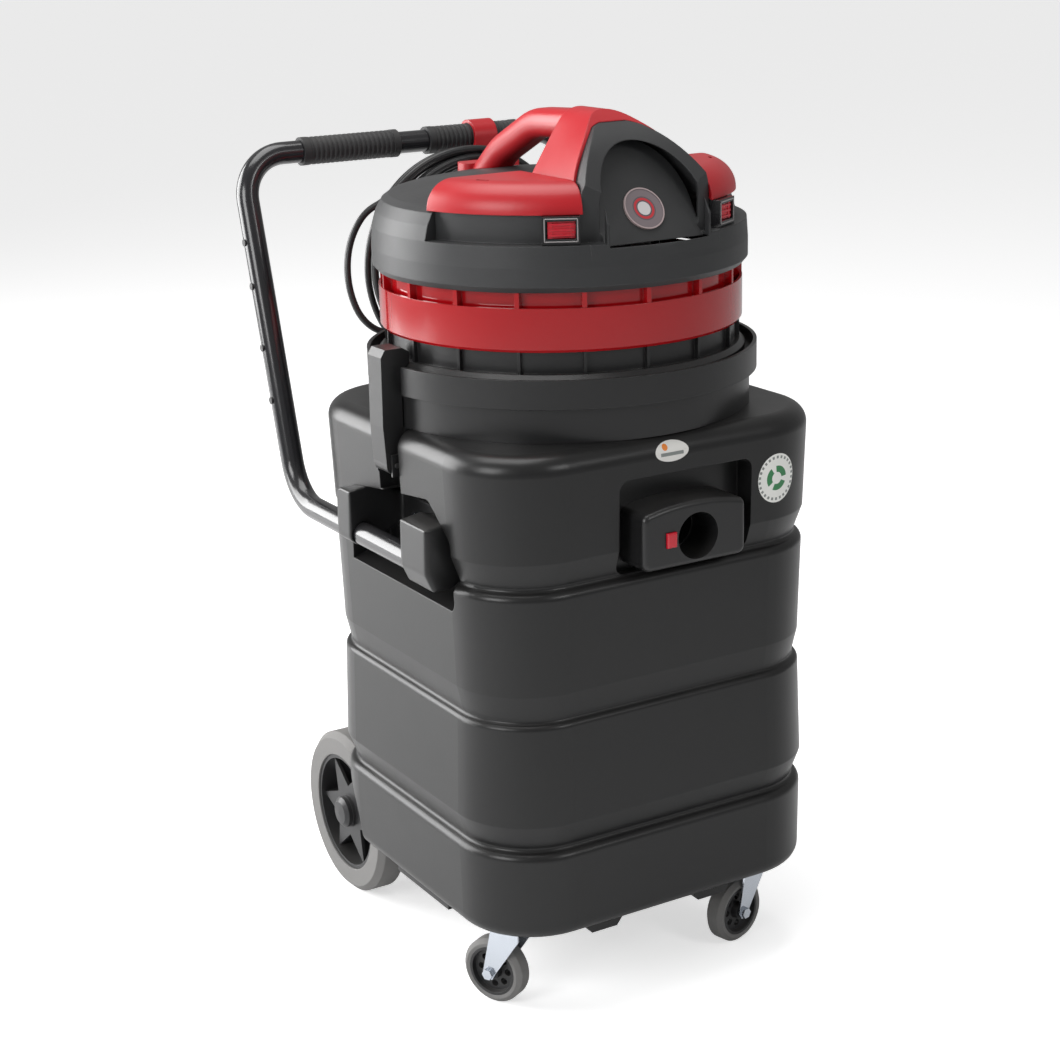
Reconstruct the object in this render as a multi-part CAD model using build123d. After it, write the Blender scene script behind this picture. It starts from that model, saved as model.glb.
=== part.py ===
"""Wet and dry shop vacuum: moulded tank on wheels, lift-off motor head, push handle and hose inlet.

Millimetres. Everything is laid out about the tank's own upright centre line, with the floor at z = 0,
and moved along Y at the very end so that the origin is the middle of the whole object's footprint.
The hose inlet faces -Y and the push handle stands at +Y.
"""
import os
from math import atan2, cos, degrees, hypot, pi, radians, sin, sqrt, tan

from build123d import *

# ---------------------------------------------------------------- driving dimensions
# tank
TANK_WIDTH = 439.4          # widest, just under the top edge
TANK_DEPTH = 432.4
TANK_CORNER = 94.5          # plan corner radius
TANK_WALL = 5.0
TANK_BOTTOM = 106.0
TANK_TOP = 637.0
GROOVE_HEIGHTS = (207.0, 351.0, 494.0)   # sharp lower edge of each groove
GROOVE_INSET = 15.0
GROOVE_RADIUS = 4.0
GROOVE_SLOPE = 31.0         # height of a groove's slanted upper wall
SHOULDER_RADIUS = 10.0
FOOT_BOTTOM = 94.0
# collar and head
COLLAR_RADIUS = 213.0       # upper band of the collar
COLLAR_NECK = 205.0         # lower band
COLLAR_STEP = 672.0         # height where the neck turns into the band
COLLAR_TOP = 704.0
COLLAR_WALL = 4.0
SEAT_TOP = 690.0            # deck that the head's gasket stands on
MOUTH_RADIUS = 172.0
GASKET_THICK = 4.0
FLANGE_RADIUS = 200.0
FLANGE_THICK = 12.0
FLANGE_CHAMFER = 5.0
VENT_RING_RADIUS = 189.0
BAND_RADIUS = 197.0
BAND_BOTTOM = 729.0
BAND_TOP = 774.0
COVER_BOTTOM = 790.0
COVER_RADIUS = 203.0
HEAD_RIBS = 18
RIB_PHASE = -4.5            # degrees off the front
CROWN_RADIUS = 190.0        # outer edge of the red top cover
LEDGE_HEIGHT = 837.0        # floor of the side recesses under the red wings
WING_EDGE = 866.0           # lower edge of the red wings
WING_REAR = -45.0           # rear edge of the red wings and hood
SHELL = 3.0                 # wall of the head's covers
# latches
LATCH_PIVOT_OUT = 217.25
LATCH_PIVOT_HEIGHT = 598.0
LATCH_WIDTH = 30.0
LATCH_TOP = 722.0
HOOK_CLEARANCE = 0.8
PIN_RADIUS = 3.0
PIN_CLEARANCE = 0.05
# push handle
TUBE_RADIUS = 13.0
TUBE_WALL = 1.8
TUBE_SIDE = 221.0           # sideways place of each lower run and upright
TUBE_HEIGHT = 504.0         # lower runs
TUBE_ROOM = 2.0             # around the tube in its groove
TUBE_FRONT = -92.0
TUBE_BEND = 231.0           # where the lower runs turn up
BAR_BACK = 338.0            # crossbar
BAR_HEIGHT = 890.0
LOWER_BEND_RADIUS = 60.0
UPPER_BEND_RADIUS = 52.0
GRIP_RADIUS = 16.5
GRIP_INNER_END = 20.0
GRIP_OUTER_END = 146.0
HOOK_WALL = 4.0             # cord hook's clip around the grip
FIT = 0.1                   # radial gap of a tube in its bracket
# rear wheels
WHEEL_RADIUS = 100.0
WHEEL_OUTER = 187.0
WHEEL_WIDTH = 40.0
WHEEL_BACK = 230.0
TYRE_INNER = 72.0
AXLE_RADIUS = 10.0
BEARING_CLEARANCE = 0.05
ARCH_GAP = 12.0             # wheel to wheel arch
# front casters
CASTER_SIDE = 157.0
CASTER_FRONT = -136.0
CASTER_WHEEL_RADIUS = 37.5
CASTER_TREAD = 24.0
CASTER_TRAIL = 27.0
CASTER_TURNS = (27.0, 103.0)     # each wheel's trail, degrees from +Y towards -X, left then right
# hose inlet
INLET_X = 17.0              # middle of the hose bore
INLET_HEIGHT = 533.0
HOSE_BORE = 25.0
BLOCK_LEFT, BLOCK_RIGHT = -50.0, 78.0
BLOCK_LOW, BLOCK_HIGH = 503.0, 571.0
BLOCK_PROUD = 18.0
RECESS_LEFT, RECESS_RIGHT = -66.0, 100.0
RECESS_LOW, RECESS_HIGH = 496.0, 599.0
RECESS_DEPTH = 28.0
BUTTON_X = -17.0
BUTTON_PROUD = 3.5
# cord
CORD_RADIUS = 4.0
PLUG_NECK = 13.0            # bare cord between the coil and the plug
CORD_GAP = 0.3              # between the gland's face and the cord's own solid
COIL_BACK = 300.0           # middle plane of the hanging coil
COIL_THICK = 32.0
COIL_OUTER = (50.0, 745.0, 145.0)    # across, height, radius
COIL_INNER = (72.0, 757.0, 100.0)
# motors
MOTOR_SIDE = 78.0
MOTOR_RADIUS = 62.0
MOTOR_DECK = 706.0
AIR_HOLE = 30.0             # radius of the hole that the float shuts

# ---------------------------------------------------------------- derived places
HALF_WIDTH = TANK_WIDTH / 2
HALF_DEPTH = TANK_DEPTH / 2
FRONT_REACH = HALF_DEPTH + BLOCK_PROUD + BUTTON_PROUD
REAR_REACH = BAR_BACK + GRIP_RADIUS + HOOK_WALL
MIDDLE_Y = (REAR_REACH - FRONT_REACH) / 2
FLANGE_BOTTOM = SEAT_TOP + GASKET_THICK
FLANGE_TOP = FLANGE_BOTTOM + FLANGE_THICK
SIDES = (("left", -1), ("right", 1))

os.makedirs("parts", exist_ok=True)


# ---------------------------------------------------------------- helpers
def save(name, shape):
    """Write one named sub-part, moved so that the footprint's middle is the origin."""
    solids = [Pos(0, -MIDDLE_Y, 0) * solid for solid in shape.solids()]
    whole = solids[0] if len(solids) == 1 else Compound(children=solids)
    export_step(whole, f"parts/{name}.step")


def disc(radius, low, high):
    """Upright cylinder between two heights."""
    return Pos(0, 0, (low + high) / 2) * Cylinder(radius, high - low)


def ring(outer, inner, low, high):
    """Upright tube between two heights."""
    return disc(outer, low, high) - disc(inner, low - 1, high + 1)


def block(x, y, z):
    """Box from three (low, high) pairs."""
    size = [pair[1] - pair[0] for pair in (x, y, z)]
    centre = [(pair[1] + pair[0]) / 2 for pair in (x, y, z)]
    return Pos(*centre) * Box(*size)


def along(direction, radius, length):
    """Cylinder that starts at the origin and runs along a direction."""
    plane = Plane(origin=(0, 0, 0), z_dir=direction)
    return plane * (Pos(0, 0, length / 2) * Cylinder(radius, length))


def turned(points, radii=None):
    """Solid of revolution about Z from (radius, height) points; the last point closes to the first."""
    line = Polyline(*points, close=True) if radii is None else FilletPolyline(*points, radius=radii, close=True)
    return revolve(make_face(Plane.XZ * line), Axis.Z)


def side_plate(points, low, high):
    """Prism of (outward, height) points in the XZ plane, between two Y values."""
    face = make_face(Plane.XZ * Polyline(*points, close=True))
    return Pos(0, high, 0) * extrude(face, high - low, dir=(0, -1, 0))


def mirrored(shape, side):
    """A right-hand shape, or its mirror image for the left."""
    return shape if side > 0 else mirror(shape, Plane.YZ)


def offset_line(points, distance):
    """Open (inset, height) line, listed upwards, moved inwards by a distance with mitred corners."""
    moved = []
    for index, point in enumerate(points):
        normals = []
        for first, second in ((index - 1, index), (index, index + 1)):
            if first < 0 or second >= len(points):
                continue
            dx = points[second][0] - points[first][0]
            dz = points[second][1] - points[first][1]
            length = hypot(dx, dz)
            normals.append((dz / length, -dx / length))
        nx = sum(n[0] for n in normals) / len(normals)
        nz = sum(n[1] for n in normals) / len(normals)
        scale = distance / (nx * nx + nz * nz)
        moved.append((point[0] + nx * scale, point[1] + nz * scale))
    return moved


def tank_outline():
    """Tank wall from bottom to top as (inset, height) points with a radius at each inner corner."""
    points = [(70, TANK_BOTTOM), (5.5, TANK_BOTTOM)]
    radii = [16]
    tops = (4.2, 7.6, 4.8)            # inset at the top of each grooved section
    starts = (3.8, 8.0, 4.0)          # inset at the bottom of the section above
    for height, top, start in zip(GROOVE_HEIGHTS, tops, starts):
        points += [(top, height - 2), (GROOVE_INSET, height), (start, height + GROOVE_SLOPE)]
        shoulder = min(SHOULDER_RADIUS, 0.85 * (GROOVE_INSET - top))
        radii += [shoulder, GROOVE_RADIUS, GROOVE_RADIUS]
    points += [(0, TANK_TOP), (70, TANK_TOP)]
    radii += [20]
    return points, radii


def rounded_body(points, radii):
    """Solid with the tank's rounded rectangular plan from an (inset, height) wall line."""
    wall = [(TANK_CORNER - inset, height) for inset, height in points]
    line = FilletPolyline(*wall, radius=radii)
    closing = Polyline(wall[-1], (0, wall[-1][1]), (0, wall[0][1]), wall[0])
    face = make_face(Plane.XZ * (line + closing))
    across = HALF_WIDTH - TANK_CORNER
    deep = HALF_DEPTH - TANK_CORNER
    quarter = revolve(face, Axis.Z, revolution_arc=90)
    side_run = extrude(face, 2 * deep, dir=(0, 1, 0))
    front_run = extrude(face, 2 * across, dir=(0, 1, 0))
    body = block((-across, across), (-deep, deep), (wall[0][1], wall[-1][1]))
    for turn, (x, y) in enumerate(((across, deep), (-across, deep), (-across, -deep), (across, -deep))):
        body += Pos(x, y, 0) * Rot(0, 0, 90 * turn) * quarter
    body += Pos(across, -deep, 0) * side_run
    body += Pos(-across, deep, 0) * Rot(0, 0, 180) * side_run
    body += Pos(across, deep, 0) * Rot(0, 0, 90) * front_run
    body += Pos(-across, -deep, 0) * Rot(0, 0, -90) * front_run
    return body


def route(points, radius):
    """Round bar along straight runs joined by the arcs that the shorter run beside each corner allows."""
    radii = []
    for before, here, after in zip(points, points[1:], points[2:]):
        first, second = Vector(here) - Vector(before), Vector(after) - Vector(here)
        half_turn = radians(first.get_angle(second)) / 2
        radii.append(0.45 * min(first.length, second.length) / tan(half_turn))
    path = FilletPolyline(*points, radius=radii)
    start = Plane(origin=path @ 0, z_dir=path % 0)
    bar = sweep(start * Circle(radius), path)
    print("route radii", [round(r) for r in radii], "length", round(path.length),
          "volume ratio", round(bar.volume / (pi * radius ** 2 * path.length), 4))
    return bar


# ---------------------------------------------------------------- tank
def handle_pocket(grow=0.0):
    """Right-hand hollow in the tank's side behind the carrying stretch of the tube."""
    outline = [(108, 440), (-128, 463), (-126, 540), (-84, 576), (16, 564), (98, 552)]
    face = make_face(Plane.YZ * Polyline(*outline, close=True))
    pocket = Pos(HALF_WIDTH - 52, 0, 0) * extrude(face, 80, dir=(1, 0, 0))
    pocket = fillet(pocket.edges().filter_by(Axis.X), 14)
    sill = Plane.XZ * Polyline((HALF_WIDTH - 60, 430), (HALF_WIDTH + 60, 430),
                               (HALF_WIDTH + 60, 440), (HALF_WIDTH - 60, 484), close=True)
    pocket -= Pos(0, 150, 0) * extrude(make_face(sill), 300, dir=(0, -1, 0))
    return offset(pocket, grow, kind=Kind.INTERSECTION) if grow else pocket


def wheel_arch(grow=0.0):
    """Right-hand clearance for a rear wheel, cut out of the tank's lower rear corner."""
    inner = WHEEL_OUTER - WHEEL_WIDTH - 7 - grow
    radius = WHEEL_RADIUS + ARCH_GAP + grow
    arch = Pos((inner + 300) / 2, WHEEL_BACK, WHEEL_RADIUS) * Rot(0, 90, 0) * Cylinder(radius, 300 - inner)
    arch += block((inner, 300), (WHEEL_BACK - radius, WHEEL_BACK + radius), (0, WHEEL_RADIUS))
    return arch


def latch_channel(grow=0.0):
    """Right-hand upright channel that a latch lies in."""
    return block((COLLAR_NECK - 11 - grow, 300), (-24 - grow, 24 + grow),
                 (LATCH_PIVOT_HEIGHT - 34 - grow, TANK_TOP + 10))


def tube_channel(grow=0.0):
    """Groove that the lower run of the handle tube lies in behind its pocket."""
    run = Rot(0, 37, 0) * along((0, 1, 0), TUBE_RADIUS + TUBE_ROOM + grow, 220)
    return Pos(TUBE_SIDE, 60, TUBE_HEIGHT) * run


def inlet_recess(grow=0.0):
    """Hollow in the tank's front around the hose inlet, open downwards into the first groove."""
    recess = block((RECESS_LEFT - grow, RECESS_RIGHT + grow), (-HALF_DEPTH - 40, -HALF_DEPTH + RECESS_DEPTH + grow),
                   (RECESS_LOW - grow, RECESS_HIGH + grow))
    return fillet(recess.edges().filter_by(Axis.Y), 12 + grow)


def make_tank():
    points, radii = tank_outline()
    inner_points = offset_line(points, TANK_WALL)
    inner_radii = [max(radius - TANK_WALL, 1.0) for radius in radii]
    outer = rounded_body(points, radii)
    inner = rounded_body(inner_points, inner_radii)
    hose = along((0, 1, 0), HOSE_BORE + 6, 80)
    hose = Pos(INLET_X, -HALF_DEPTH, INLET_HEIGHT) * hose
    outer -= inlet_recess()
    inner -= inlet_recess(TANK_WALL)
    for _, side in SIDES:
        for cut in (handle_pocket, wheel_arch, latch_channel, tube_channel):
            outer -= mirrored(cut(), side)
            inner -= mirrored(cut(TANK_WALL), side)
        outer -= Pos(side * CASTER_SIDE, CASTER_FRONT, 0) * disc(30, 0, TANK_BOTTOM + 1)
    feet = Part()
    for centre, low_half, high_half in ((-80, 16, 32), (62, 18, 33)):
        profile = Plane.XZ * Polyline((centre - low_half, FOOT_BOTTOM), (centre + low_half, FOOT_BOTTOM),
                                      (centre + high_half, TANK_BOTTOM + 8), (centre - high_half, TANK_BOTTOM + 8),
                                      close=True)
        feet += Pos(0, 120, 0) * extrude(make_face(profile), 120 + HALF_DEPTH - 22, dir=(0, -1, 0))
    for _, side in SIDES:
        feet += block(sorted((side * (HALF_WIDTH - 20), side * (HALF_WIDTH - 60))), (-60, 60),
                      (FOOT_BOTTOM, TANK_BOTTOM + 8))
    tank = outer - inner + (feet - inner)
    tank -= hose
    tank -= disc(MOUTH_RADIUS, TANK_TOP - 20, TANK_TOP + 20)
    return tank


def make_collar():
    """Ring on the tank's mouth: neck, stepped band, and the deck that the head's gasket stands on."""
    inner = MOUTH_RADIUS + COLLAR_WALL
    band_inner = COLLAR_RADIUS - COLLAR_WALL
    neck_inner = COLLAR_NECK - COLLAR_WALL
    foot = TANK_TOP
    collar = turned([(MOUTH_RADIUS, foot), (inner, foot), (inner, SEAT_TOP - COLLAR_WALL),
                     (neck_inner, SEAT_TOP - COLLAR_WALL), (neck_inner, foot), (COLLAR_NECK, foot),
                     (COLLAR_NECK, COLLAR_STEP), (COLLAR_RADIUS, COLLAR_STEP + 2), (COLLAR_RADIUS, COLLAR_TOP),
                     (band_inner, COLLAR_TOP), (band_inner, SEAT_TOP), (MOUTH_RADIUS, SEAT_TOP)])
    for _, side in SIDES:
        collar -= block(sorted((side * (COLLAR_NECK + 0.5), side * 240)), (-24, 24), (COLLAR_STEP - 1, COLLAR_TOP + 1))
        collar -= block(sorted((side * (FLANGE_RADIUS + 1), side * 240)), (-24, 24), (SEAT_TOP + 0.01, COLLAR_TOP + 1))
    for angle in range(0, 360, 60):
        at = Rot(0, 0, angle) * Pos((inner + neck_inner) / 2, 0, 0)
        rib = Rot(0, 0, angle) * block((inner - 1, neck_inner + 1), (-2, 2), (foot, SEAT_TOP - 1))
        collar += rib + at * disc(6, foot, foot + 14)
        collar -= at * disc(2.5, foot - 1, foot + 12)
    return collar


def make_collar_screws():
    """Six screws up through the tank's top into the collar."""
    screws = []
    at = (MOUTH_RADIUS + COLLAR_NECK) / 2
    for angle in range(0, 360, 60):
        inside = TANK_TOP - TANK_WALL
        screw = disc(2.5, inside, TANK_TOP + 11) + disc(5, inside - 3, inside)
        screws.append(Rot(0, 0, angle) * (Pos(at, 0, 0) * screw))
    return screws


# ---------------------------------------------------------------- hose inlet
def inlet_face(x):
    """Crowned top of the inlet block at a sideways place."""
    middle = (BLOCK_LEFT + BLOCK_RIGHT) / 2
    return BLOCK_HIGH - 8 * ((x - middle) / (BLOCK_RIGHT - middle)) ** 2


def make_inlet_block():
    """Crowned housing in the recess, with the hose bore and the button's slot."""
    middle = (BLOCK_LEFT + BLOCK_RIGHT) / 2
    line = Polyline((BLOCK_LEFT, inlet_face(BLOCK_LEFT)), (BLOCK_LEFT, BLOCK_LOW),
                    (BLOCK_RIGHT, BLOCK_LOW), (BLOCK_RIGHT, inlet_face(BLOCK_RIGHT)))
    crown = ThreePointArc(line @ 1, (middle, BLOCK_HIGH), line @ 0)
    face = make_face(Plane.XZ * (line + crown))
    back = -HALF_DEPTH + RECESS_DEPTH
    front = -HALF_DEPTH - BLOCK_PROUD
    housing = Pos(0, back, 0) * extrude(face, back - front, dir=(0, -1, 0))
    housing = fillet(housing.edges().filter_by(Axis.Y), 9)
    housing = fillet(housing.faces().sort_by(Axis.Y)[0].edges(), 6)
    hose = Pos(INLET_X, 0, INLET_HEIGHT)
    housing -= hose * (Pos(0, front - 1, 0) * along((0, 1, 0), HOSE_BORE, 200))
    housing -= button_shape(0.3, front - 1, front + 20)
    return housing


def button_shape(grow, front, back):
    """Square release button between two depths."""
    return block((BUTTON_X - 6 - grow, BUTTON_X + 6 + grow), (front, back),
                 (INLET_HEIGHT - 7 - grow, INLET_HEIGHT + 9 + grow))


def make_release_button():
    front = -HALF_DEPTH - BLOCK_PROUD
    button = button_shape(0, front - BUTTON_PROUD, front + 12)
    return fillet(button.faces().sort_by(Axis.Y)[0].edges(), 2)


def make_inlet_tube():
    """Short tube from the block through the tank wall, with a hood that turns the stream down."""
    back = -HALF_DEPTH + RECESS_DEPTH
    tube = Pos(INLET_X, back, INLET_HEIGHT) * along((0, 1, 0), HOSE_BORE + 5.7, 60)
    bore = Pos(INLET_X, back - 1, INLET_HEIGHT) * along((0, 1, 0), HOSE_BORE - 1.5, 56)
    tube -= bore
    mouth = block((INLET_X - 22, INLET_X + 22), (back + 24, back + 54), (INLET_HEIGHT - 60, INLET_HEIGHT))
    return tube - mouth


def make_inlet_screws():
    """Four screws from inside the tank into the block."""
    inside = -HALF_DEPTH + RECESS_DEPTH + TANK_WALL
    screws = []
    for x in (INLET_X - 36.5, INLET_X + 36.5):
        for z in (INLET_HEIGHT - 20, INLET_HEIGHT + 20):
            head = Pos(x, inside, z) * along((0, 1, 0), 4.5, 3)
            screws.append(head)
    return screws


# ---------------------------------------------------------------- latches
def make_latch(side):
    """Fold-down clip: a lever on a pin near its foot, with a hook over the head's flange."""
    chamfer_sum = FLANGE_RADIUS + FLANGE_TOP - FLANGE_CHAMFER + HOOK_CLEARANCE
    tip = FLANGE_RADIUS - FLANGE_CHAMFER + 1
    inner = COLLAR_NECK + 1.5
    outer = LATCH_PIVOT_OUT + 11
    profile = [(inner, LATCH_PIVOT_HEIGHT), (outer - 0.5, LATCH_PIVOT_HEIGHT), (outer + 2, 640),
               (outer + 1, LATCH_TOP - 8), (outer - 4, LATCH_TOP), (tip + 8, LATCH_TOP), (tip, LATCH_TOP - 5),
               (tip, chamfer_sum - tip), (inner, chamfer_sum - inner)]
    half = LATCH_WIDTH / 2
    lever = side_plate(profile, -half, half)
    pivot = Pos(LATCH_PIVOT_OUT, -half, LATCH_PIVOT_HEIGHT)
    lever += pivot * along((0, 1, 0), LATCH_PIVOT_OUT - inner, LATCH_WIDTH)
    lever -= Pos(0, -1, 0) * pivot * along((0, 1, 0), PIN_RADIUS + PIN_CLEARANCE, LATCH_WIDTH + 2)
    hollow = block((inner + 9, outer - 3), (-half + 3, half - 3), (LATCH_PIVOT_HEIGHT + 16, LATCH_TOP - 24))
    lever -= Pos(-12, 0, 0) * hollow
    return mirrored(lever, side)


def make_latch_bracket(side):
    """U bracket in the tank's channel that carries the latch pin."""
    floor = COLLAR_NECK - 11
    half = LATCH_WIDTH / 2
    low, high = LATCH_PIVOT_HEIGHT - 16, LATCH_PIVOT_HEIGHT + 16
    bracket = block((floor, floor + 2.5), (-half - 4, half + 4), (low, high))
    for y in (-half - 3.5, half + 0.5):
        bracket += block((floor, LATCH_PIVOT_OUT + 6), (y, y + 3), (low + 4, high - 4))
    bracket -= Pos(LATCH_PIVOT_OUT, -40, LATCH_PIVOT_HEIGHT) * along((0, 1, 0), PIN_RADIUS, 80)
    return mirrored(bracket, side)


def make_latch_pins():
    half = LATCH_WIDTH / 2 + 3.5
    pins = []
    for _, side in SIDES:
        pin = along((0, 1, 0), PIN_RADIUS, 2 * half) + Pos(0, 2 * half, 0) * along((0, 1, 0), PIN_RADIUS + 2, 2)
        pins.append(Pos(side * LATCH_PIVOT_OUT, -half, LATCH_PIVOT_HEIGHT) * pin)
    return pins


# ---------------------------------------------------------------- push handle
def tube_path():
    side, rear = TUBE_SIDE, BAR_BACK
    return FilletPolyline((-side, TUBE_FRONT, TUBE_HEIGHT), (-side, TUBE_BEND, TUBE_HEIGHT),
                          (-side, rear, BAR_HEIGHT), (side, rear, BAR_HEIGHT),
                          (side, TUBE_BEND, TUBE_HEIGHT), (side, TUBE_FRONT, TUBE_HEIGHT),
                          radius=[LOWER_BEND_RADIUS, UPPER_BEND_RADIUS, UPPER_BEND_RADIUS, LOWER_BEND_RADIUS])


def make_handle_tube():
    path = tube_path()
    start = Plane(origin=path @ 0, z_dir=path % 0)
    return sweep(start * (Circle(TUBE_RADIUS) - Circle(TUBE_RADIUS - TUBE_WALL)), path)


def make_handle_bracket(side):
    """Moulded bracket on the pocket's floor with two ears that hold the tube."""
    floor = HALF_WIDTH - 52
    bracket = block((floor, floor + 4), (-104, 80), (500, 545))
    ears = (((-112, -56), (484, 556), 20), ((62, 94), (492, 558), 8))
    for y, z, lean in ears:
        face = make_face(Plane.XZ * Polyline((floor, z[0] + 22), (floor, z[1] - 14), (TUBE_SIDE - 10, z[1]),
                                             (TUBE_SIDE + 16, z[1] - 4), (TUBE_SIDE + 17, z[0] + lean),
                                             (TUBE_SIDE + 8, z[0]), (TUBE_SIDE - 12, z[0]), close=True))
        bracket += Pos(0, y[1], 0) * extrude(face, y[1] - y[0], dir=(0, -1, 0))
    bracket = fillet(bracket.edges().filter_by(Axis.Y).group_by(Axis.X)[-1], 5)
    bracket -= Pos(TUBE_SIDE, TUBE_FRONT, TUBE_HEIGHT) * along((0, 1, 0), TUBE_RADIUS + FIT, 300)
    return mirrored(bracket & handle_pocket(), side)


def make_bracket_bolts():
    """Button-head bolts through the brackets' backs into the pocket floor."""
    bolts = []
    floor = HALF_WIDTH - 52
    for _, side in SIDES:
        for y in (-30, 30):
            head = Pos(side * (floor + 4), y, 522) * along((side, 0, 0), 6, 4)
            bolts.append(head)
    return bolts


def make_grip(side):
    """Ribbed rubber sleeve on the crossbar with a plain collar at each end."""
    length = GRIP_OUTER_END - GRIP_INNER_END
    points = [(TUBE_RADIUS, 0), (GRIP_RADIUS, 0), (GRIP_RADIUS, 8)]
    pitch = 6.0
    ribs = int((length - 16) / pitch)
    for rib in range(ribs):
        z = 8 + rib * (length - 16) / ribs
        points += [(GRIP_RADIUS - 1.2, z + 0.5), (GRIP_RADIUS - 1.2, z + 2.2), (GRIP_RADIUS - 0.3, z + 2.9),
                   (GRIP_RADIUS - 0.3, z + 5)]
    points += [(GRIP_RADIUS, length - 8), (GRIP_RADIUS, length), (TUBE_RADIUS, length)]
    grip = Rot(0, 90, 0) * turned(points)
    return mirrored(Pos(GRIP_INNER_END, BAR_BACK, BAR_HEIGHT) * grip, side)


def make_cord_hook():
    """Clip around the right grip with a peg that the coiled cord hangs on."""
    low, high = 79.0, 110.0
    outer = GRIP_RADIUS + HOOK_WALL
    clip = Pos(low, BAR_BACK, BAR_HEIGHT) * (along((1, 0, 0), outer, high - low))
    clip += block((low, high), (BAR_BACK - outer, BAR_BACK + outer), (BAR_HEIGHT - outer, BAR_HEIGHT))
    clip += block((low, high), (BAR_BACK - outer, BAR_BACK - outer + 8), (834, BAR_HEIGHT))
    clip += block((low, high), (268, BAR_BACK - outer + 1), (834, 846))
    clip += block((low, high), (268, 276), (834, 866))
    clip -= Pos(low - 1, BAR_BACK, BAR_HEIGHT) * along((1, 0, 0), GRIP_RADIUS, high - low + 2)
    return clip


def make_tube_plugs():
    """Round plugs in the outer face of each upright, and the caps of the tube's two ends."""
    lean = atan2(BAR_BACK - TUBE_BEND, BAR_HEIGHT - TUBE_HEIGHT)
    plugs = []
    for _, side in SIDES:
        for z in (618, 677, 746, 795):
            y = TUBE_BEND + (z - TUBE_HEIGHT) * tan(lean)
            plug = along((side, 0, 0), 4.0, 2.0)
            plugs.append(Pos(side * (TUBE_SIDE + TUBE_RADIUS - 0.5), y, z) * plug
                         - Pos(side * TUBE_SIDE, y, z) * Rot(-degrees(lean), 0, 0) * Cylinder(TUBE_RADIUS, 40))
    return plugs


# ---------------------------------------------------------------- rear wheels
def on_axle(shape, side):
    """Shape made along +X from the wheel's middle, set on the rear axle."""
    return Pos(side * (WHEEL_OUTER - WHEEL_WIDTH / 2), WHEEL_BACK, WHEEL_RADIUS) * mirrored(shape, side)


def make_axle_brackets():
    """Two lugs bolted to the tank's back that carry the axle."""
    lugs = []
    for _, side in SIDES:
        x = side * 112
        lug = block((x - 9, x + 9), (HALF_DEPTH - 2, WHEEL_BACK), (WHEEL_RADIUS + 12, WHEEL_RADIUS + 70))
        lug += block((x - 9, x + 9), (HALF_DEPTH - 2, WHEEL_BACK + 14), (WHEEL_RADIUS - 14, WHEEL_RADIUS + 16))
        lug = Pos(0, 3.0, 0) * lug
        lug += Pos(x - 9, WHEEL_BACK, WHEEL_RADIUS) * along((1, 0, 0), 18, 18)
        lug -= Pos(x - 20, WHEEL_BACK, WHEEL_RADIUS) * along((1, 0, 0), AXLE_RADIUS, 40)
        lugs.append(lug)
    return lugs


def make_rear_axle():
    reach = WHEEL_OUTER + 2
    return Pos(-reach, WHEEL_BACK, WHEEL_RADIUS) * along((1, 0, 0), AXLE_RADIUS, 2 * reach)


def make_axle_washers():
    washers = []
    for _, side in SIDES:
        for x, rim in ((WHEEL_OUTER - WHEEL_WIDTH + 3, 6), (WHEEL_OUTER - 2.4, 3.5)):
            tube = along((1, 0, 0), AXLE_RADIUS + rim, 2) - Pos(-1, 0, 0) * along((1, 0, 0), AXLE_RADIUS, 4)
            washers.append(Pos(side * x - 1, WHEEL_BACK, WHEEL_RADIUS) * tube)
    return washers


def make_wheel_hub():
    """Rim, six-point star and barrel of a rear wheel, centred on its own middle plane, outside at +X."""
    half = WHEEL_WIDTH / 2
    wheel = along((1, 0, 0), TYRE_INNER, WHEEL_WIDTH - 6)
    wheel -= Pos(-1, 0, 0) * along((1, 0, 0), TYRE_INNER - 5, WHEEL_WIDTH)
    wheel = Pos(-half + 3, 0, 0) * wheel
    wheel += Pos(-half + 5, 0, 0) * along((1, 0, 0), 20, WHEEL_WIDTH - 9)
    star = []
    for point in range(6):
        for angle, radius in ((60 * point, TYRE_INNER - 3), (60 * point + 30, 32)):
            star.append((radius * cos(radians(angle)), radius * sin(radians(angle))))
    plate = extrude(make_face(Plane.YZ * Polyline(*star, close=True)), 4, dir=(1, 0, 0))
    wheel += Pos(half - 12, 0, 0) * plate
    for point in range(6):
        rib = block((-half + 5, half - 10), (-2, 2), (18, TYRE_INNER - 3))
        wheel += Rot(60 * point - 30, 0, 0) * rib
    wheel -= Pos(-half - 1, 0, 0) * along((1, 0, 0), AXLE_RADIUS + BEARING_CLEARANCE, WHEEL_WIDTH + 2)
    return wheel


def make_tyre(radius, inner, width, crown):
    """Tyre centred on its own middle plane, with rounded shoulders."""
    half = width / 2
    points = [(inner, -half + 1), (radius - crown, -half), (radius, -half + crown), (radius, half - crown),
              (radius - crown, half), (inner, half - 1)]
    return Rot(0, 90, 0) * turned(points)


def make_hub_cap():
    """Domed cap over the end of the axle."""
    seat = WHEEL_WIDTH / 2 - 4
    return Rot(0, 90, 0) * turned([(0, seat + 6.5), (15, seat + 6.5), (15, seat), (19, seat), (19, seat + 5),
                                   (14, seat + 9), (0, seat + 10)])


# ---------------------------------------------------------------- front casters
PLATE_TOP = TANK_BOTTOM + 1.0
PLATE_BOTTOM = PLATE_TOP - 3.0
FORK_TOP = PLATE_BOTTOM - 6.0


def at_kingpin(shape, side):
    return Pos(side * CASTER_SIDE, CASTER_FRONT, 0) * shape


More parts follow.
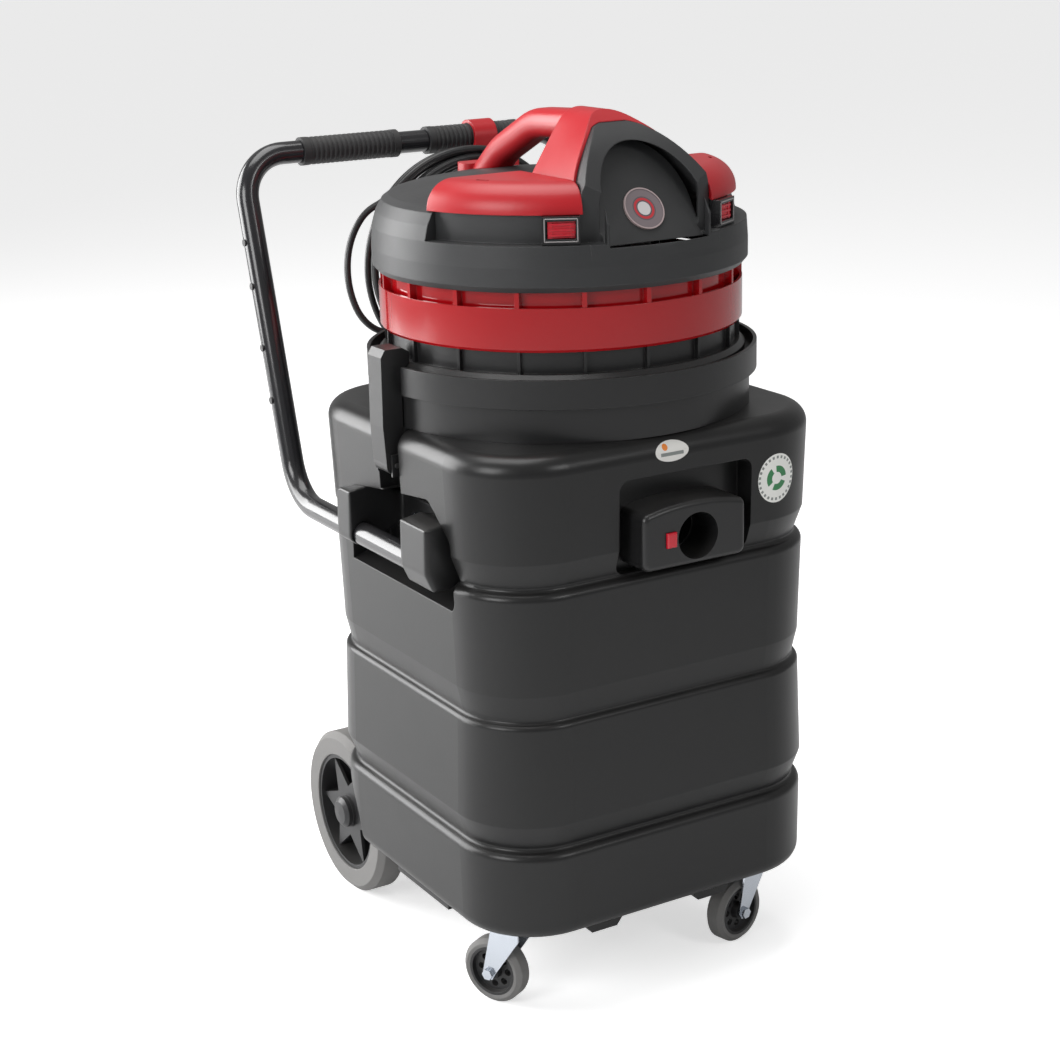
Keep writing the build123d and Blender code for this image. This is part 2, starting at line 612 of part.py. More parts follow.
def make_caster_plate(side):
    """Square plate with a raised ball race and the kingpin."""
    plate = block((-28, 28), (-28, 28), (PLATE_BOTTOM, PLATE_TOP)) & disc(30, PLATE_BOTTOM, PLATE_TOP)
    plate += disc(19, PLATE_BOTTOM - 4, PLATE_BOTTOM)
    plate += disc(5, FORK_TOP - 6, PLATE_BOTTOM)
    plate += disc(8.5, FORK_TOP - 8, FORK_TOP - 5)
    for turn in range(4):
        plate -= Rot(0, 0, 45 + 90 * turn) * (Pos(24, 0, 0) * disc(2.5, 0, 200))
    return at_kingpin(plate, side)


def make_caster_screws():
    """Four screws through each caster plate into the tank's floor."""
    screws = []
    for _, side in SIDES:
        for turn in range(4):
            screw = disc(2.5, PLATE_BOTTOM, PLATE_TOP + 3) + disc(4.5, PLATE_BOTTOM - 2.5, PLATE_BOTTOM)
            screws.append(at_kingpin(Rot(0, 0, 45 + 90 * turn) * (Pos(24, 0, 0) * screw), side))
    return screws


def turned_caster(shape, side):
    """Caster part made with its trail along +Y, turned to its heading on the kingpin."""
    turn = CASTER_TURNS[0] if side < 0 else CASTER_TURNS[1]
    return at_kingpin(Rot(0, 0, turn) * shape, side)


def make_fork(side):
    """Pressed zinc fork: crown around the kingpin and two tapered legs down to the axle."""
    inside = CASTER_TREAD / 2 + 2.0
    wall = 2.5
    crown = disc(20, FORK_TOP - 4, FORK_TOP) + block((-inside - wall, inside + wall), (-12, 22),
                                                     (FORK_TOP - 4, FORK_TOP))
    leg = make_face(Plane.YZ * Polyline((-12, FORK_TOP), (22, FORK_TOP), (CASTER_TRAIL + 8, CASTER_WHEEL_RADIUS),
                                        (CASTER_TRAIL + 4, CASTER_WHEEL_RADIUS - 7),
                                        (CASTER_TRAIL - 4, CASTER_WHEEL_RADIUS - 7),
                                        (CASTER_TRAIL - 9, CASTER_WHEEL_RADIUS + 2), (-12, FORK_TOP - 14), close=True))
    for x in (-inside - wall, inside):
        crown += Pos(x, 0, 0) * extrude(leg, wall, dir=(1, 0, 0))
    crown -= disc(5 + BEARING_CLEARANCE, 0, 200)
    crown -= Pos(-50, CASTER_TRAIL, CASTER_WHEEL_RADIUS) * along((1, 0, 0), 4, 100)
    return turned_caster(crown, side)


def make_caster_axle(side):
    """Through bolt with a hex head and a nut."""
    reach = CASTER_TREAD / 2 + 2.0 + 2.5
    bolt = Pos(-reach, 0, 0) * along((1, 0, 0), 4, 2 * reach)
    hexagon = extrude(Plane.YZ * RegularPolygon(6.5, 6), 4.5, dir=(1, 0, 0))
    bolt += Pos(reach, 0, 0) * hexagon
    bolt += Pos(-reach - 4.5, 0, 0) * hexagon
    return turned_caster(Pos(0, CASTER_TRAIL, CASTER_WHEEL_RADIUS) * bolt, side)


def make_caster_hub(side):
    """Black hub of a caster wheel with a dished web and round lightening holes."""
    half = CASTER_TREAD / 2
    rim = CASTER_WHEEL_RADIUS - 9
    hub = Rot(0, 90, 0) * turned([(4 + BEARING_CLEARANCE, -half - 0.5), (9, -half - 0.5), (10, -5), (rim - 4, -5),
                                  (rim - 3, -half + 1), (rim, -half + 1), (rim, half - 1), (rim - 3, half - 1),
                                  (rim - 4, 5), (10, 5), (9, half + 0.5), (4 + BEARING_CLEARANCE, half + 0.5)])
    for turn in range(8):
        hub -= Rot(45 * turn, 0, 0) * (Pos(-20, 0, 17) * along((1, 0, 0), 4, 40))
    return turned_caster(Pos(0, CASTER_TRAIL, CASTER_WHEEL_RADIUS) * hub, side)


def make_caster_tyre(side):
    tyre = make_tyre(CASTER_WHEEL_RADIUS, CASTER_WHEEL_RADIUS - 9, CASTER_TREAD, 5)
    return turned_caster(Pos(0, CASTER_TRAIL, CASTER_WHEEL_RADIUS) * tyre, side)


# ---------------------------------------------------------------- head
COVER_LINE = [(198, COVER_BOTTOM), (COVER_RADIUS, COVER_BOTTOM + 6), (COVER_RADIUS, 815), (201.5, LEDGE_HEIGHT),
              (197, 852), (190, 864), (182, 869.5), (170, 873), (150, 876.5), (100, 882)]
COVER_MIDDLE = 885.0
NOSE_RADIUS = 78.0
NOSE_CENTRE = 870.0
NOSE_SETBACK = 0.4          # foot of the nose behind the drum's face
HOOD_TOP = 958.0
HOOD_GAP = 0.2              # hood over the nose
HOOD_FRONT = -210.0
HOOD_HEIGHTS = (868.0, 895.0, 920.0, 941.0, 953.0)          # where the hood's half widths are given
HOOD_REAR_WIDTHS = (74.0, 58.0, 42.0, 28.0, 17.0)
HOOD_FRONT_WIDTHS = (92.0, 82.0, 70.0, 52.0, 30.0)
HOOD_LINE = ((-170, 800), (-162, 870), (-152, 888), (-142, 906), (-130, 927), (-112, 944), (-90, 958))  # its front edge
HOOD_RISE_SHARES = (0.0, 0.2, 0.4, 0.7, 1.0)                # how much of a wall's inset acts downwards there
WING_TOP = 897.0
WING_ROUND = 30.0           # radius of the wings' outer edge
RECESS_FROM, RECESS_TO = 18.0, 74.0      # degrees off the front
RECESS_RADIUS = 185.0
SWITCH_TURN = 31.0
PANEL_FOOT, PANEL_HEAD = (-183.0, 833.0), (-120.0, 930.0)
PANEL_RADIUS = 60.0
PLENUM_TOP = MOTOR_DECK + 14.0
BOSS_RADIUS = 160.0
POST_RADIUS = 8.0
POST_TOP = 873.2            # inside the cover's wall
HANDLE_PATH = ((0, -70, 941), (0, 34, 936), (0, 112, 900), (0, 178, 848))
GLAND_START = (-20.0, 198.0, 823.5)
GLAND_LENGTH = 36.0
GLAND_LEAN = 40.0           # degrees below level


def dome(grow):
    """Upright solid of the cover's outer surface, moved outwards by an amount."""
    points = [(0, COVER_BOTTOM - 10)] + [(COVER_LINE[0][0] + grow, COVER_BOTTOM - 10)]
    points += [(radius + grow, height + (grow if radius < 195 else 0)) for radius, height in COVER_LINE]
    points += [(0, COVER_MIDDLE + grow)]
    return turned(points)


def hood_body(inset):
    """Arched body of the hood, narrower towards the back, running the whole depth of the head's front."""
    sections = []
    for y, widths in ((WING_REAR, HOOD_REAR_WIDTHS), (HOOD_FRONT, HOOD_FRONT_WIDTHS)):
        right = [(width - inset, height - inset * share) for width, height, share in
                 zip(widths, HOOD_HEIGHTS, HOOD_RISE_SHARES)]
        left = [(-x, z) for x, z in reversed(right)]
        arch = Spline(*right, (0, HOOD_TOP - inset), *left)
        rest = Polyline(left[-1], (left[-1][0], 800), (right[0][0], 800), right[0])
        sections.append(Pos(0, y, 0) * make_face(Plane.XZ * (arch + rest)))
    return loft(sections, ruled=True)


def leaning_wedge(line, rear):
    """Everything behind a curved front profile, given as (y, height) points from the foot upwards."""
    curve = Spline(*line)
    last = line[-1]
    rest = Polyline(last, (rear, last[1]), (rear, 790), (line[0][0], 790), line[0])
    return Pos(-260, 0, 0) * extrude(make_face(Plane.YZ * (curve + rest)), 520, dir=(1, 0, 0))


def nose_arch(grow):
    """Half-round arch of the nose, running right through the head."""
    arch = Pos(0, 0, NOSE_CENTRE) * (Rot(90, 0, 0) * Cylinder(NOSE_RADIUS + grow, 420))
    return arch + block((-NOSE_RADIUS - grow, NOSE_RADIUS + grow), (-210, 210), (800, NOSE_CENTRE))


def nose_body(grow):
    """Leaning half-round nose at the front of the cover."""
    line = [(-203 - grow, 800), (-200.5 - grow, 838), (-186 - grow, 870 + grow / 2), (-161 - grow, 906 + grow / 2),
            (-130 - grow / 2, 936 + grow), (-95, 949 + grow)]
    body = nose_arch(grow) & leaning_wedge(line, -60) & disc(COVER_RADIUS - NOSE_SETBACK + grow, 700, 1000)
    return body & hood_body(SHELL + HOOD_GAP - grow)


def side_recess(grow):
    """Right-hand hollow under the red wing, as an arc-shaped block."""
    low, high = radians(RECESS_FROM - grow), radians(RECESS_TO + grow / 3)
    far = 300.0
    corners = [(0, 0)]
    for step in range(5):
        angle = low + (high - low) * step / 4
        corners.append((far * sin(angle), -far * cos(angle)))
    sector = Pos(0, 0, LEDGE_HEIGHT - grow) * extrude(make_face(Polyline(*corners, close=True)), 60, dir=(0, 0, 1))
    return sector - disc(RECESS_RADIUS - grow, 700, 1000)


def nose_panel():
    """Flat leaning inset in the nose, as the volume in front of it."""
    (foot_y, foot_z), (head_y, head_z) = PANEL_FOOT, PANEL_HEAD
    outline = Pos(0, 0, NOSE_CENTRE) * (Rot(90, 0, 0) * Cylinder(PANEL_RADIUS, 500))
    outline += block((-PANEL_RADIUS, PANEL_RADIUS), (-250, 250), (foot_z, NOSE_CENTRE))
    outline &= block((-PANEL_RADIUS, PANEL_RADIUS), (-250, 250), (foot_z, NOSE_CENTRE + PANEL_RADIUS))
    reach = 2.0
    low = (foot_y - (head_y - foot_y) * reach, foot_z - (head_z - foot_z) * reach)
    high = (head_y + (head_y - foot_y) * reach, head_z + (head_z - foot_z) * reach)
    front = Plane.YZ * Polyline(low, high, (-600, high[1]), (-600, low[1]), close=True)
    return outline & (Pos(-100, 0, 0) * extrude(make_face(front), 200, dir=(1, 0, 0)))


def make_gland():
    """Tapered strain relief in the cover's back."""
    x, y, z = GLAND_START
    cone = Pos(0, 0, GLAND_LENGTH / 2) * Cone(8.5, CORD_RADIUS + 1.6, GLAND_LENGTH)
    cone += Pos(0, 0, 3) * Cylinder(10, 4)
    return Pos(x, y, z) * Rot(-90 - GLAND_LEAN, 0, 0) * cone


def make_head_cover():
    """Dark moulded cover: shouldered drum with the leaning nose and the two side recesses."""
    outer = dome(0) + nose_body(0)
    inner = (dome(-SHELL) + nose_body(-SHELL)) - nose_panel().moved(Location((0, SHELL, 0)))
    outer -= nose_panel()
    for _, side in SIDES:
        outer -= mirrored(side_recess(0), side)
        inner -= mirrored(side_recess(SHELL), side)
    cover = outer - inner - disc(COVER_RADIUS - 5 - SHELL, 700, COVER_BOTTOM + 1)
    cover -= disc(300, 700, COVER_BOTTOM)
    for turn in range(4):
        post = Pos(BOSS_RADIUS, 0, 0) * Rot(0, 0, 70) * disc(POST_RADIUS, MOTOR_DECK, POST_TOP)
        cover += Rot(0, 0, 45 + 90 * turn) * post
    for turn in range(4):
        cover -= Rot(0, 0, 45 + 90 * turn) * (Pos(BOSS_RADIUS, 0, 0) * disc(2.5, MOTOR_DECK - 1, MOTOR_DECK + 24))
    for _, side in SIDES:
        cover -= at_switch(block((-15.9, 15.9), (-196, -172), (842.1, 861.9)), side)
    return cover - make_gland()


def crown_body(inset):
    """Hood and wings of the red top cover, as a solid behind its front edge."""
    line = [(y + inset, z - inset / 2) for y, z in HOOD_LINE[:-1]] + [(HOOD_LINE[-1][0] + inset, HOOD_TOP - inset)]
    hood = hood_body(inset) & leaning_wedge(line, -20)
    cap_line = FilletPolyline((0, WING_TOP - inset), (CROWN_RADIUS - inset, WING_TOP - inset),
                              (CROWN_RADIUS - inset, 800), radius=WING_ROUND - inset)
    rest = Polyline((CROWN_RADIUS - inset, 800), (0, 800), (0, WING_TOP - inset))
    cap = revolve(make_face(Plane.XZ * (cap_line + rest)), Axis.Z) - nose_arch(HOOD_GAP + inset)
    front = block((-250, 250), (-250, WING_REAR - inset), (WING_EDGE, 1000))
    return (hood + cap) & front & disc(CROWN_RADIUS - inset, 800, 1000)


def make_top_cover():
    """Red cover: hood over the nose, two wings and the carrying handle."""
    solid = crown_body(0)
    path = FilletPolyline(*HANDLE_PATH, radius=[90, 110])
    section = Plane(origin=path @ 0, z_dir=path % 0, x_dir=(1, 0, 0)) * RectangleRounded(38, 31, 14)
    handle = sweep(section, path)
    shell = solid - crown_body(SHELL)
    crown = shell + (handle - crown_body(SHELL))
    foot = Pos(0, 168, 0) * block((-26, 26), (-14, 14), (860, 882))
    crown += fillet(foot.edges().filter_by(Axis.Z), 10)
    crown -= dome(0) + nose_body(0.2)
    pieces = crown.solids().sort_by(SortBy.VOLUME)
    crown = Part() + pieces[-1]
    for _, side in SIDES:
        slot = Pos(side * 140, -84, 0) * Rot(0, 0, side * 60) * block((-7, 7), (-1.8, 1.8), (872, 1000))
        crown -= slot
    return crown


def make_head_base():
    """Black base: flange, locating lip, vent wall with ribs, and the deck over the filter."""
    base = turned([(0, MOTOR_DECK - 4), (166, MOTOR_DECK - 4), (166, 676), (MOUTH_RADIUS - 2, 676),
                   (MOUTH_RADIUS - 2, FLANGE_BOTTOM), (FLANGE_RADIUS, FLANGE_BOTTOM),
                   (FLANGE_RADIUS, FLANGE_TOP - FLANGE_CHAMFER), (FLANGE_RADIUS - FLANGE_CHAMFER, FLANGE_TOP),
                   (VENT_RING_RADIUS, FLANGE_TOP), (VENT_RING_RADIUS, BAND_BOTTOM),
                   (VENT_RING_RADIUS - 4, BAND_BOTTOM), (VENT_RING_RADIUS - 4, MOTOR_DECK), (0, MOTOR_DECK)])
    for rib in range(HEAD_RIBS):
        angle = -90 + RIB_PHASE + rib * 360 / HEAD_RIBS
        fin = block((VENT_RING_RADIUS - 2, BAND_RADIUS - 3), (-1.6, 1.6), (FLANGE_TOP - 1, BAND_BOTTOM))
        base += Rot(0, 0, angle) * fin
    base -= disc(AIR_HOLE, 690, 720)
    for turn in range(4):
        base -= Rot(0, 0, 45 + 90 * turn) * (Pos(BOSS_RADIUS, 0, 0) * disc(2.5, 690, 720))
    return base


def make_red_band():
    """Red band around the vent wall with a castellated top edge."""
    wall = VENT_RING_RADIUS - 4
    band = turned([(wall, BAND_BOTTOM), (BAND_RADIUS - 2, BAND_BOTTOM), (BAND_RADIUS, BAND_BOTTOM + 3),
                   (BAND_RADIUS, BAND_TOP), (BAND_RADIUS - 3, BAND_TOP), (BAND_RADIUS - 3, BAND_BOTTOM + 3),
                   (wall + 3, BAND_BOTTOM + 3), (wall + 3, COVER_BOTTOM), (wall, COVER_BOTTOM)])
    for rib in range(HEAD_RIBS):
        angle = -90 + RIB_PHASE + rib * 360 / HEAD_RIBS
        fin = block((wall + 2, BAND_RADIUS - 0.6), (-2.5, 2.5), (BAND_BOTTOM + 2, COVER_BOTTOM))
        band += Rot(0, 0, angle) * fin
    return band


def make_head_screws():
    """Four screws up through the base into the cover's posts."""
    screw = disc(2.5, MOTOR_DECK - 4, MOTOR_DECK + 22) + disc(5, MOTOR_DECK - 7.5, MOTOR_DECK - 4)
    return [Rot(0, 0, 45 + 90 * turn) * (Pos(BOSS_RADIUS, 0, 0) * screw) for turn in range(4)]


def make_exhaust_foam():
    return ring(VENT_RING_RADIUS - 4.5, 172, MOTOR_DECK, COVER_BOTTOM - 6)


# switches
def at_switch(shape, side):
    return mirrored(Rot(0, 0, SWITCH_TURN) * shape, side)


def make_switch_housing(side):
    """Black frame in the side recess, with a deep pocket for the rocker."""
    housing = block((-19, 19), (-196, -184.6), (LEDGE_HEIGHT + 0.5, WING_EDGE - 0.5)) - disc(RECESS_RADIUS, 800, 900)
    housing += block((-15.9, 15.9), (-190, -172), (842.1, 861.9))
    housing -= block((-14.9, 14.9), (-200, -176), (843.1, 860.9))
    housing -= Pos(0, -186, 0) * disc(1.55, 841, 863)
    housing -= block((-14.9, 14.9), (-200, -190), (843.1, 860.9))
    return at_switch(housing, side)


def make_rocker(side):
    """Red rocker on a pin through its top and bottom, at rest tipped by half of its travel."""
    rocker = block((-14, 14), (-192.5, -186), (843.6, 860.4))
    rocker -= block((-9, 9), (-200, -191.8), (840, 864))
    wedge = make_face(Polyline((-14, -186), (14, -186), (5, -181), (-5, -181), close=True))
    rocker += Pos(0, 0, 843.6) * extrude(wedge, 16.8, dir=(0, 0, 1))
    for z in (846.5, 852, 857.5):
        rocker += block((-13, 13), (-193.6, -191), (z - 1, z + 1))
    rocker += Pos(0, -186, 0) * disc(1.5, 842.3, 861.7)
    tipped = Pos(0, -186, 0) * Rot(0, 0, -6) * Pos(0, 186, 0) * rocker
    return at_switch(tipped, side)


def make_badge():
    """Round plate on the nose's inset panel."""
    (foot_y, foot_z), (head_y, head_z) = PANEL_FOOT, PANEL_HEAD
    share = 0.31
    middle = (0, foot_y + (head_y - foot_y) * share, foot_z + (head_z - foot_z) * share)
    plane = Plane(origin=middle, z_dir=(0, -(head_z - foot_z), head_y - foot_y), x_dir=(1, 0, 0))
    return plane * (Pos(0, 0, 0.9) * Cylinder(23, 1.8) + Pos(0, 0, 1.2) * (Cylinder(23, 2.4) - Cylinder(21.5, 3)))


# motors and air path
def make_motor_plate():
    """Plenum lid under the motors: air comes up the middle hole and goes to both."""
    plate = turned([(146, MOTOR_DECK), (150, MOTOR_DECK), (150, PLENUM_TOP), (0, PLENUM_TOP), (0, PLENUM_TOP - 4),
                    (146, PLENUM_TOP - 4)])
    for _, side in SIDES:
        plate -= Pos(side * MOTOR_SIDE, 0, 0) * disc(24, 700, 730)
    return plate


def make_motor_case():
    """Fan housing with the narrower motor frame above it."""
    low = PLENUM_TOP
    case = turned([(24, low), (MOTOR_RADIUS, low), (MOTOR_RADIUS, low + 46), (44, low + 46), (44, low + 96),
                   (36, low + 106), (5.05, low + 106), (5.05, low + 96), (34, low + 96), (41, low + 90),
                   (41, low + 50), (5.05, low + 50), (5.05, low + 43), (MOTOR_RADIUS - 2, low + 43),
                   (MOTOR_RADIUS - 2, low + 3), (24, low + 3)])
    for turn in range(6):
        case -= Rot(0, 0, 60 * turn) * block((39, 50), (-9, 9), (low + 58, low + 86))
    for turn in range(12):
        case -= Rot(0, 0, 30 * turn) * block((MOTOR_RADIUS - 4, MOTOR_RADIUS + 2), (-8, 8), (low + 20, low + 36))
    return case


def make_rotor():
    """Shaft with the fan below and the armature above."""
    low = PLENUM_TOP
    return turned([(0, low + 6), (8, low + 6), (8, low + 10), (54, low + 12), (54, low + 34), (8, low + 38),
                   (5, low + 42), (5, low + 54), (27, low + 54), (27, low + 88), (5, low + 88), (5, low + 104),
                   (0, low + 104)])


def make_float_cage():
    """Open cage under the deck with a flat floor for the float."""
    cage = ring(50, AIR_HOLE, MOTOR_DECK - 8, MOTOR_DECK - 4) + ring(50, 47, 612, 616) + disc(50, 610, 613)
    for turn in range(8):
        cage += Rot(0, 0, 45 * turn) * block((46, 50), (-3, 3), (611, MOTOR_DECK - 5))
    return cage


FLOAT_RADIUS = 40.0


def make_float():
    """Hollow ball that shuts the middle hole when the tank is full of water."""
    rest = 613.3 + FLOAT_RADIUS
    return Pos(0, 0, rest) * (Sphere(FLOAT_RADIUS) - Sphere(FLOAT_RADIUS - 2))


def make_filter():
    """Cloth filter basket hung under the deck."""
    top = MOTOR_DECK - 4
    return turned([(60, top), (153, top), (153, top - 5), (150, top - 5), (122, 562), (116, 556), (0, 556), (0, 559.5),
                   (114, 559.5), (118, 564), (146, top - 4), (60, top - 4)])


# ---------------------------------------------------------------- cord
CORD_POINTS = [(-20, 247.8, 781.7), (-21, 261, 756), (-24, 266, 725), (-31, 268, 700), (-47, 269, 682),
               (-69, 270, 675), (-91, 273, 681), (-107, 279, 698), (-114, 286, 722), (-115, 292, 748),
               (-110, 297, 774), (-99, 300, 798), (-82, 300, 819)]


def gland_end(beyond=0.0):
    """Point on the gland's axis at its outer face, or further out."""
    lean = radians(GLAND_LEAN)
    reach = GLAND_LENGTH + beyond
    x, y, z = GLAND_START
    return (x, y + reach * cos(lean), z - reach * sin(lean))


def make_cord_lead():
    return route([gland_end(CORD_GAP)] + CORD_POINTS, CORD_RADIUS)


def make_cord_coil():
    """Closed shape of the hanging coil: tight where it hangs on the peg, fanned out at the far side."""
    (x, z, radius), (x_in, z_in, radius_in) = COIL_OUTER, COIL_INNER
    outer = Pos(x, COIL_BACK, z) * (Rot(90, 0, 0) * Cylinder(radius, COIL_THICK))
    inner = Pos(x_in, COIL_BACK, z_in) * (Rot(90, 0, 0) * Cylinder(radius_in, COIL_THICK + 2))
    return outer - inner


def make_plug():
    """Round moulded mains plug hanging inside the coil, pins down."""
    aside = 62.0
    x = COIL_INNER[0] + aside
    top = COIL_INNER[1] + sqrt(COIL_INNER[2] ** 2 - aside ** 2) + 1
    neck = top - PLUG_NECK
    plug = turned([(0, top), (CORD_RADIUS, top), (CORD_RADIUS, neck), (5.5, neck), (7, neck - 26), (18, neck - 40),
                   (19, neck - 66), (0, neck - 66)])
    for pin in (-9.5, 9.5):
        plug += Pos(pin, 0, 0) * disc(2.4, neck - 84, neck - 66)
    return Pos(x, COIL_BACK, 0) * plug


# ---------------------------------------------------------------- build
def group(pieces):
    return Compound(children=[solid for piece in pieces for solid in piece.solids()])


def main():
    collar_screws = make_collar_screws()
    caster_screws = make_caster_screws()
    tank = make_tank()
    for screw in collar_screws + caster_screws:
        tank -= screw
    save("tank", tank)
    save("collar", make_collar())
    save("collar_screws", group(collar_screws))
    gasket = ring(FLANGE_RADIUS - 4, MOUTH_RADIUS + 6, SEAT_TOP, FLANGE_BOTTOM - 0.2)
    save("seat_gasket", gasket)
    save("inlet_block", make_inlet_block())
    save("inlet_tube", make_inlet_tube())
    save("inlet_screws", group(make_inlet_screws()))
    save("release_button", make_release_button())
    save("latch_pins", group(make_latch_pins()))
    save("latch_brackets", group([make_latch_bracket(side) for _, side in SIDES]))
    save("handle_brackets", group([make_handle_bracket(side) for _, side in SIDES]))
    save("caster_plates", group([make_caster_plate(side) for _, side in SIDES]))
    save("switch_housings", group([make_switch_housing(side) for _, side in SIDES]))
    save("motor_cases", group([Pos(side * MOTOR_SIDE, 0, 0) * make_motor_case() for _, side in SIDES]))
    save("handle_tube", make_handle_tube())
    save("tube_plugs", group(make_tube_plugs()))
    save("bracket_bolts", group(make_bracket_bolts()))
    save("cord_hook", make_cord_hook())
    save("axle_brackets", group(make_axle_brackets()))
    save("rear_axle", make_rear_axle())
    save("axle_washers", group(make_axle_washers()))
    save("caster_screws", group(caster_screws))
    for name, side in SIDES:
        save(f"latch_{name}", make_latch(side))
        save(f"grip_{name}", make_grip(side))
        save(f"wheel_hub_{name}", on_axle(make_wheel_hub(), side))
        save(f"tyre_{name}", on_axle(make_tyre(WHEEL_RADIUS, TYRE_INNER, WHEEL_WIDTH, 7), side))
        save(f"hub_cap_{name}", on_axle(make_hub_cap(), side))
        save(f"caster_fork_{name}", make_fork(side))
        save(f"caster_axle_{name}", make_caster_axle(side))
        save(f"caster_hub_{name}", make_caster_hub(side))
        save(f"caster_tyre_{name}", make_caster_tyre(side))
        save(f"rocker_{name}", make_rocker(side))
        save(f"motor_rotor_{name}", Pos(side * MOTOR_SIDE, 0, 0) * make_rotor())
    save("head_base", make_head_base())
    save("red_band", make_red_band())
    save("head_cover", make_head_cover())
    save("top_cover", make_top_cover())
    save("head_screws", group(make_head_screws()))
    save("exhaust_foam", make_exhaust_foam())
    save("badge", make_badge())
    save("motor_plate", make_motor_plate())
    save("float_cage", make_float_cage())
    save("float_ball", make_float())
    save("filter", make_filter())
    save("cord_gland", make_gland())
    save("cord_lead", make_cord_lead())
    save("cord_coil", make_cord_coil())
    save("plug", make_plug())


main()
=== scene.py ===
# %% [markdown]
# # A large shop vacuum
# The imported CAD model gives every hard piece: tank, head, wheels, handle. This script dresses it. It adds
# the cord, two stickers and the switch frames, rounds the handle's brackets, and gives every surface a
# finish made of nodes.

# %% Load the frame
from math import cos, pi, radians, sin

import bmesh
import bpy
from mathutils import Matrix, Vector


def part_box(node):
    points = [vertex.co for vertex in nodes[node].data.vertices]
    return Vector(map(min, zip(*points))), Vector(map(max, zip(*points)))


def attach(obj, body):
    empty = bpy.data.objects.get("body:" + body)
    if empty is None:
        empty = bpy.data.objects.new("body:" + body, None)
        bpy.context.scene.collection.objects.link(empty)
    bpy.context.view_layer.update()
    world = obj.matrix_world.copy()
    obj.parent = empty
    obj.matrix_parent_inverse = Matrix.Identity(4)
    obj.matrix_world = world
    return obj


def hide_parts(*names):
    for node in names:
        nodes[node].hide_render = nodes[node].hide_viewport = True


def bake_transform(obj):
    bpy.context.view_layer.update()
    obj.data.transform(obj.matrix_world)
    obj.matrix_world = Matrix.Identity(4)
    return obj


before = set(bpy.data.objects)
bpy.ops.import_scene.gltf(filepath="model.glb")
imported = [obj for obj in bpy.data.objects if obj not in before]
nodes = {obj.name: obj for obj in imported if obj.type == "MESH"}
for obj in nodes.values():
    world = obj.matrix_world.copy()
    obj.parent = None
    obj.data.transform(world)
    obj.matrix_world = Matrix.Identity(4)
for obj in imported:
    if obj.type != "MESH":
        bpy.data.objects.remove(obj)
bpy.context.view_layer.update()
MM = 0.001

# %% [markdown]
# ## Where things are
# The middle of the head, seen from above, is the middle of the tank, and it is a little in front of the
# origin, because the push handle reaches out behind. Most places below are measured from that middle, so
# one helper turns millimetres from the middle of the tank into a point of the scene.

# %% A helper for places
head_low, head_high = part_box("red_band")
MIDDLE = Vector(((head_low.x + head_high.x) / 2, (head_low.y + head_high.y) / 2, 0))


def place(x, y, z):
    """Point of the scene from millimetres about the tank's upright centre line."""
    return MIDDLE + Vector((x, y, z)) * MM


print("middle of the tank:", [round(v, 4) for v in MIDDLE])

# %% [markdown]
# ## The camera
# It stands a little above the head, to the left of the front, and looks slightly down. It also leans by a
# degree and a half, as a hand-held camera does.

# %% Camera
CAMERA_PLACE = (-1180.8, -1923.6, 1163.9)
AZIMUTH, ELEVATION, ROLL = radians(-30.53), radians(16.73), radians(-1.51)
back = Vector((sin(AZIMUTH) * cos(ELEVATION), -cos(AZIMUTH) * cos(ELEVATION), sin(ELEVATION)))
level = Vector((cos(AZIMUTH), sin(AZIMUTH), 0))
upright = back.cross(level)
across = level * cos(ROLL) + upright * sin(ROLL)
upward = upright * cos(ROLL) - level * sin(ROLL)
camera_data = bpy.data.cameras.new("camera")
camera_data.lens = 71.05
camera_data.sensor_width = 36
camera = bpy.data.objects.new("camera", camera_data)
turned = Matrix((across, upward, back)).transposed().to_4x4()
camera.matrix_world = Matrix.Translation(place(*CAMERA_PLACE)) @ turned
bpy.context.scene.collection.objects.link(camera)
bpy.context.scene.camera = camera
print("camera at", [round(v, 3) for v in camera.location])

# %% [markdown]
# ## Small tools
# Each new piece is shaped in a bmesh and then handed to one function, which makes the object, gives it
# its material and lets it ride on a body of the CAD model.

# %% Making pieces


def new_piece(name, bm, material, body, smooth=35):
    """Object from a bmesh, with its normals made consistent and edges sharper than an angle kept sharp."""
    bmesh.ops.remove_doubles(bm, verts=bm.verts, dist=1e-6)
    bmesh.ops.recalc_face_normals(bm, faces=bm.faces)
    for face in bm.faces:
        face.smooth = True
    for edge in bm.edges:
        edge.smooth = len(edge.link_faces) == 2 and edge.calc_face_angle(0) < radians(smooth)
    mesh = bpy.data.meshes.new(name)
    bm.to_mesh(mesh)
    bm.free()
    mesh.materials.append(material)
    piece = bpy.data.objects.new(name, mesh)
    bpy.context.scene.collection.objects.link(piece)
    if body:
        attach(piece, body)
    print(name, "faces:", len(mesh.polygons))
    return piece


# %% [markdown]
# ## Finishes: what they share
# A mould leaves a fine grain on plastic, dust settles on whatever faces up, and edges get rubbed paler.
# Each of these is one node group, used by many materials with different amounts.

# %% Node helpers


def new_group(name, inputs, outputs):
    """Shader node group with float inputs ((name, default) pairs) and outputs ((name, type) pairs)."""
    group = bpy.data.node_groups.new(name, "ShaderNodeTree")
    for label, default in inputs:
        kind = "NodeSocketColor" if isinstance(default, tuple) else "NodeSocketFloat"
        socket = group.interface.new_socket(label, in_out="INPUT", socket_type=kind)
        socket.default_value = default
    for label, kind in outputs:
        group.interface.new_socket(label, in_out="OUTPUT", socket_type=kind)
    return group, group.nodes.new("NodeGroupInput"), group.nodes.new("NodeGroupOutput")


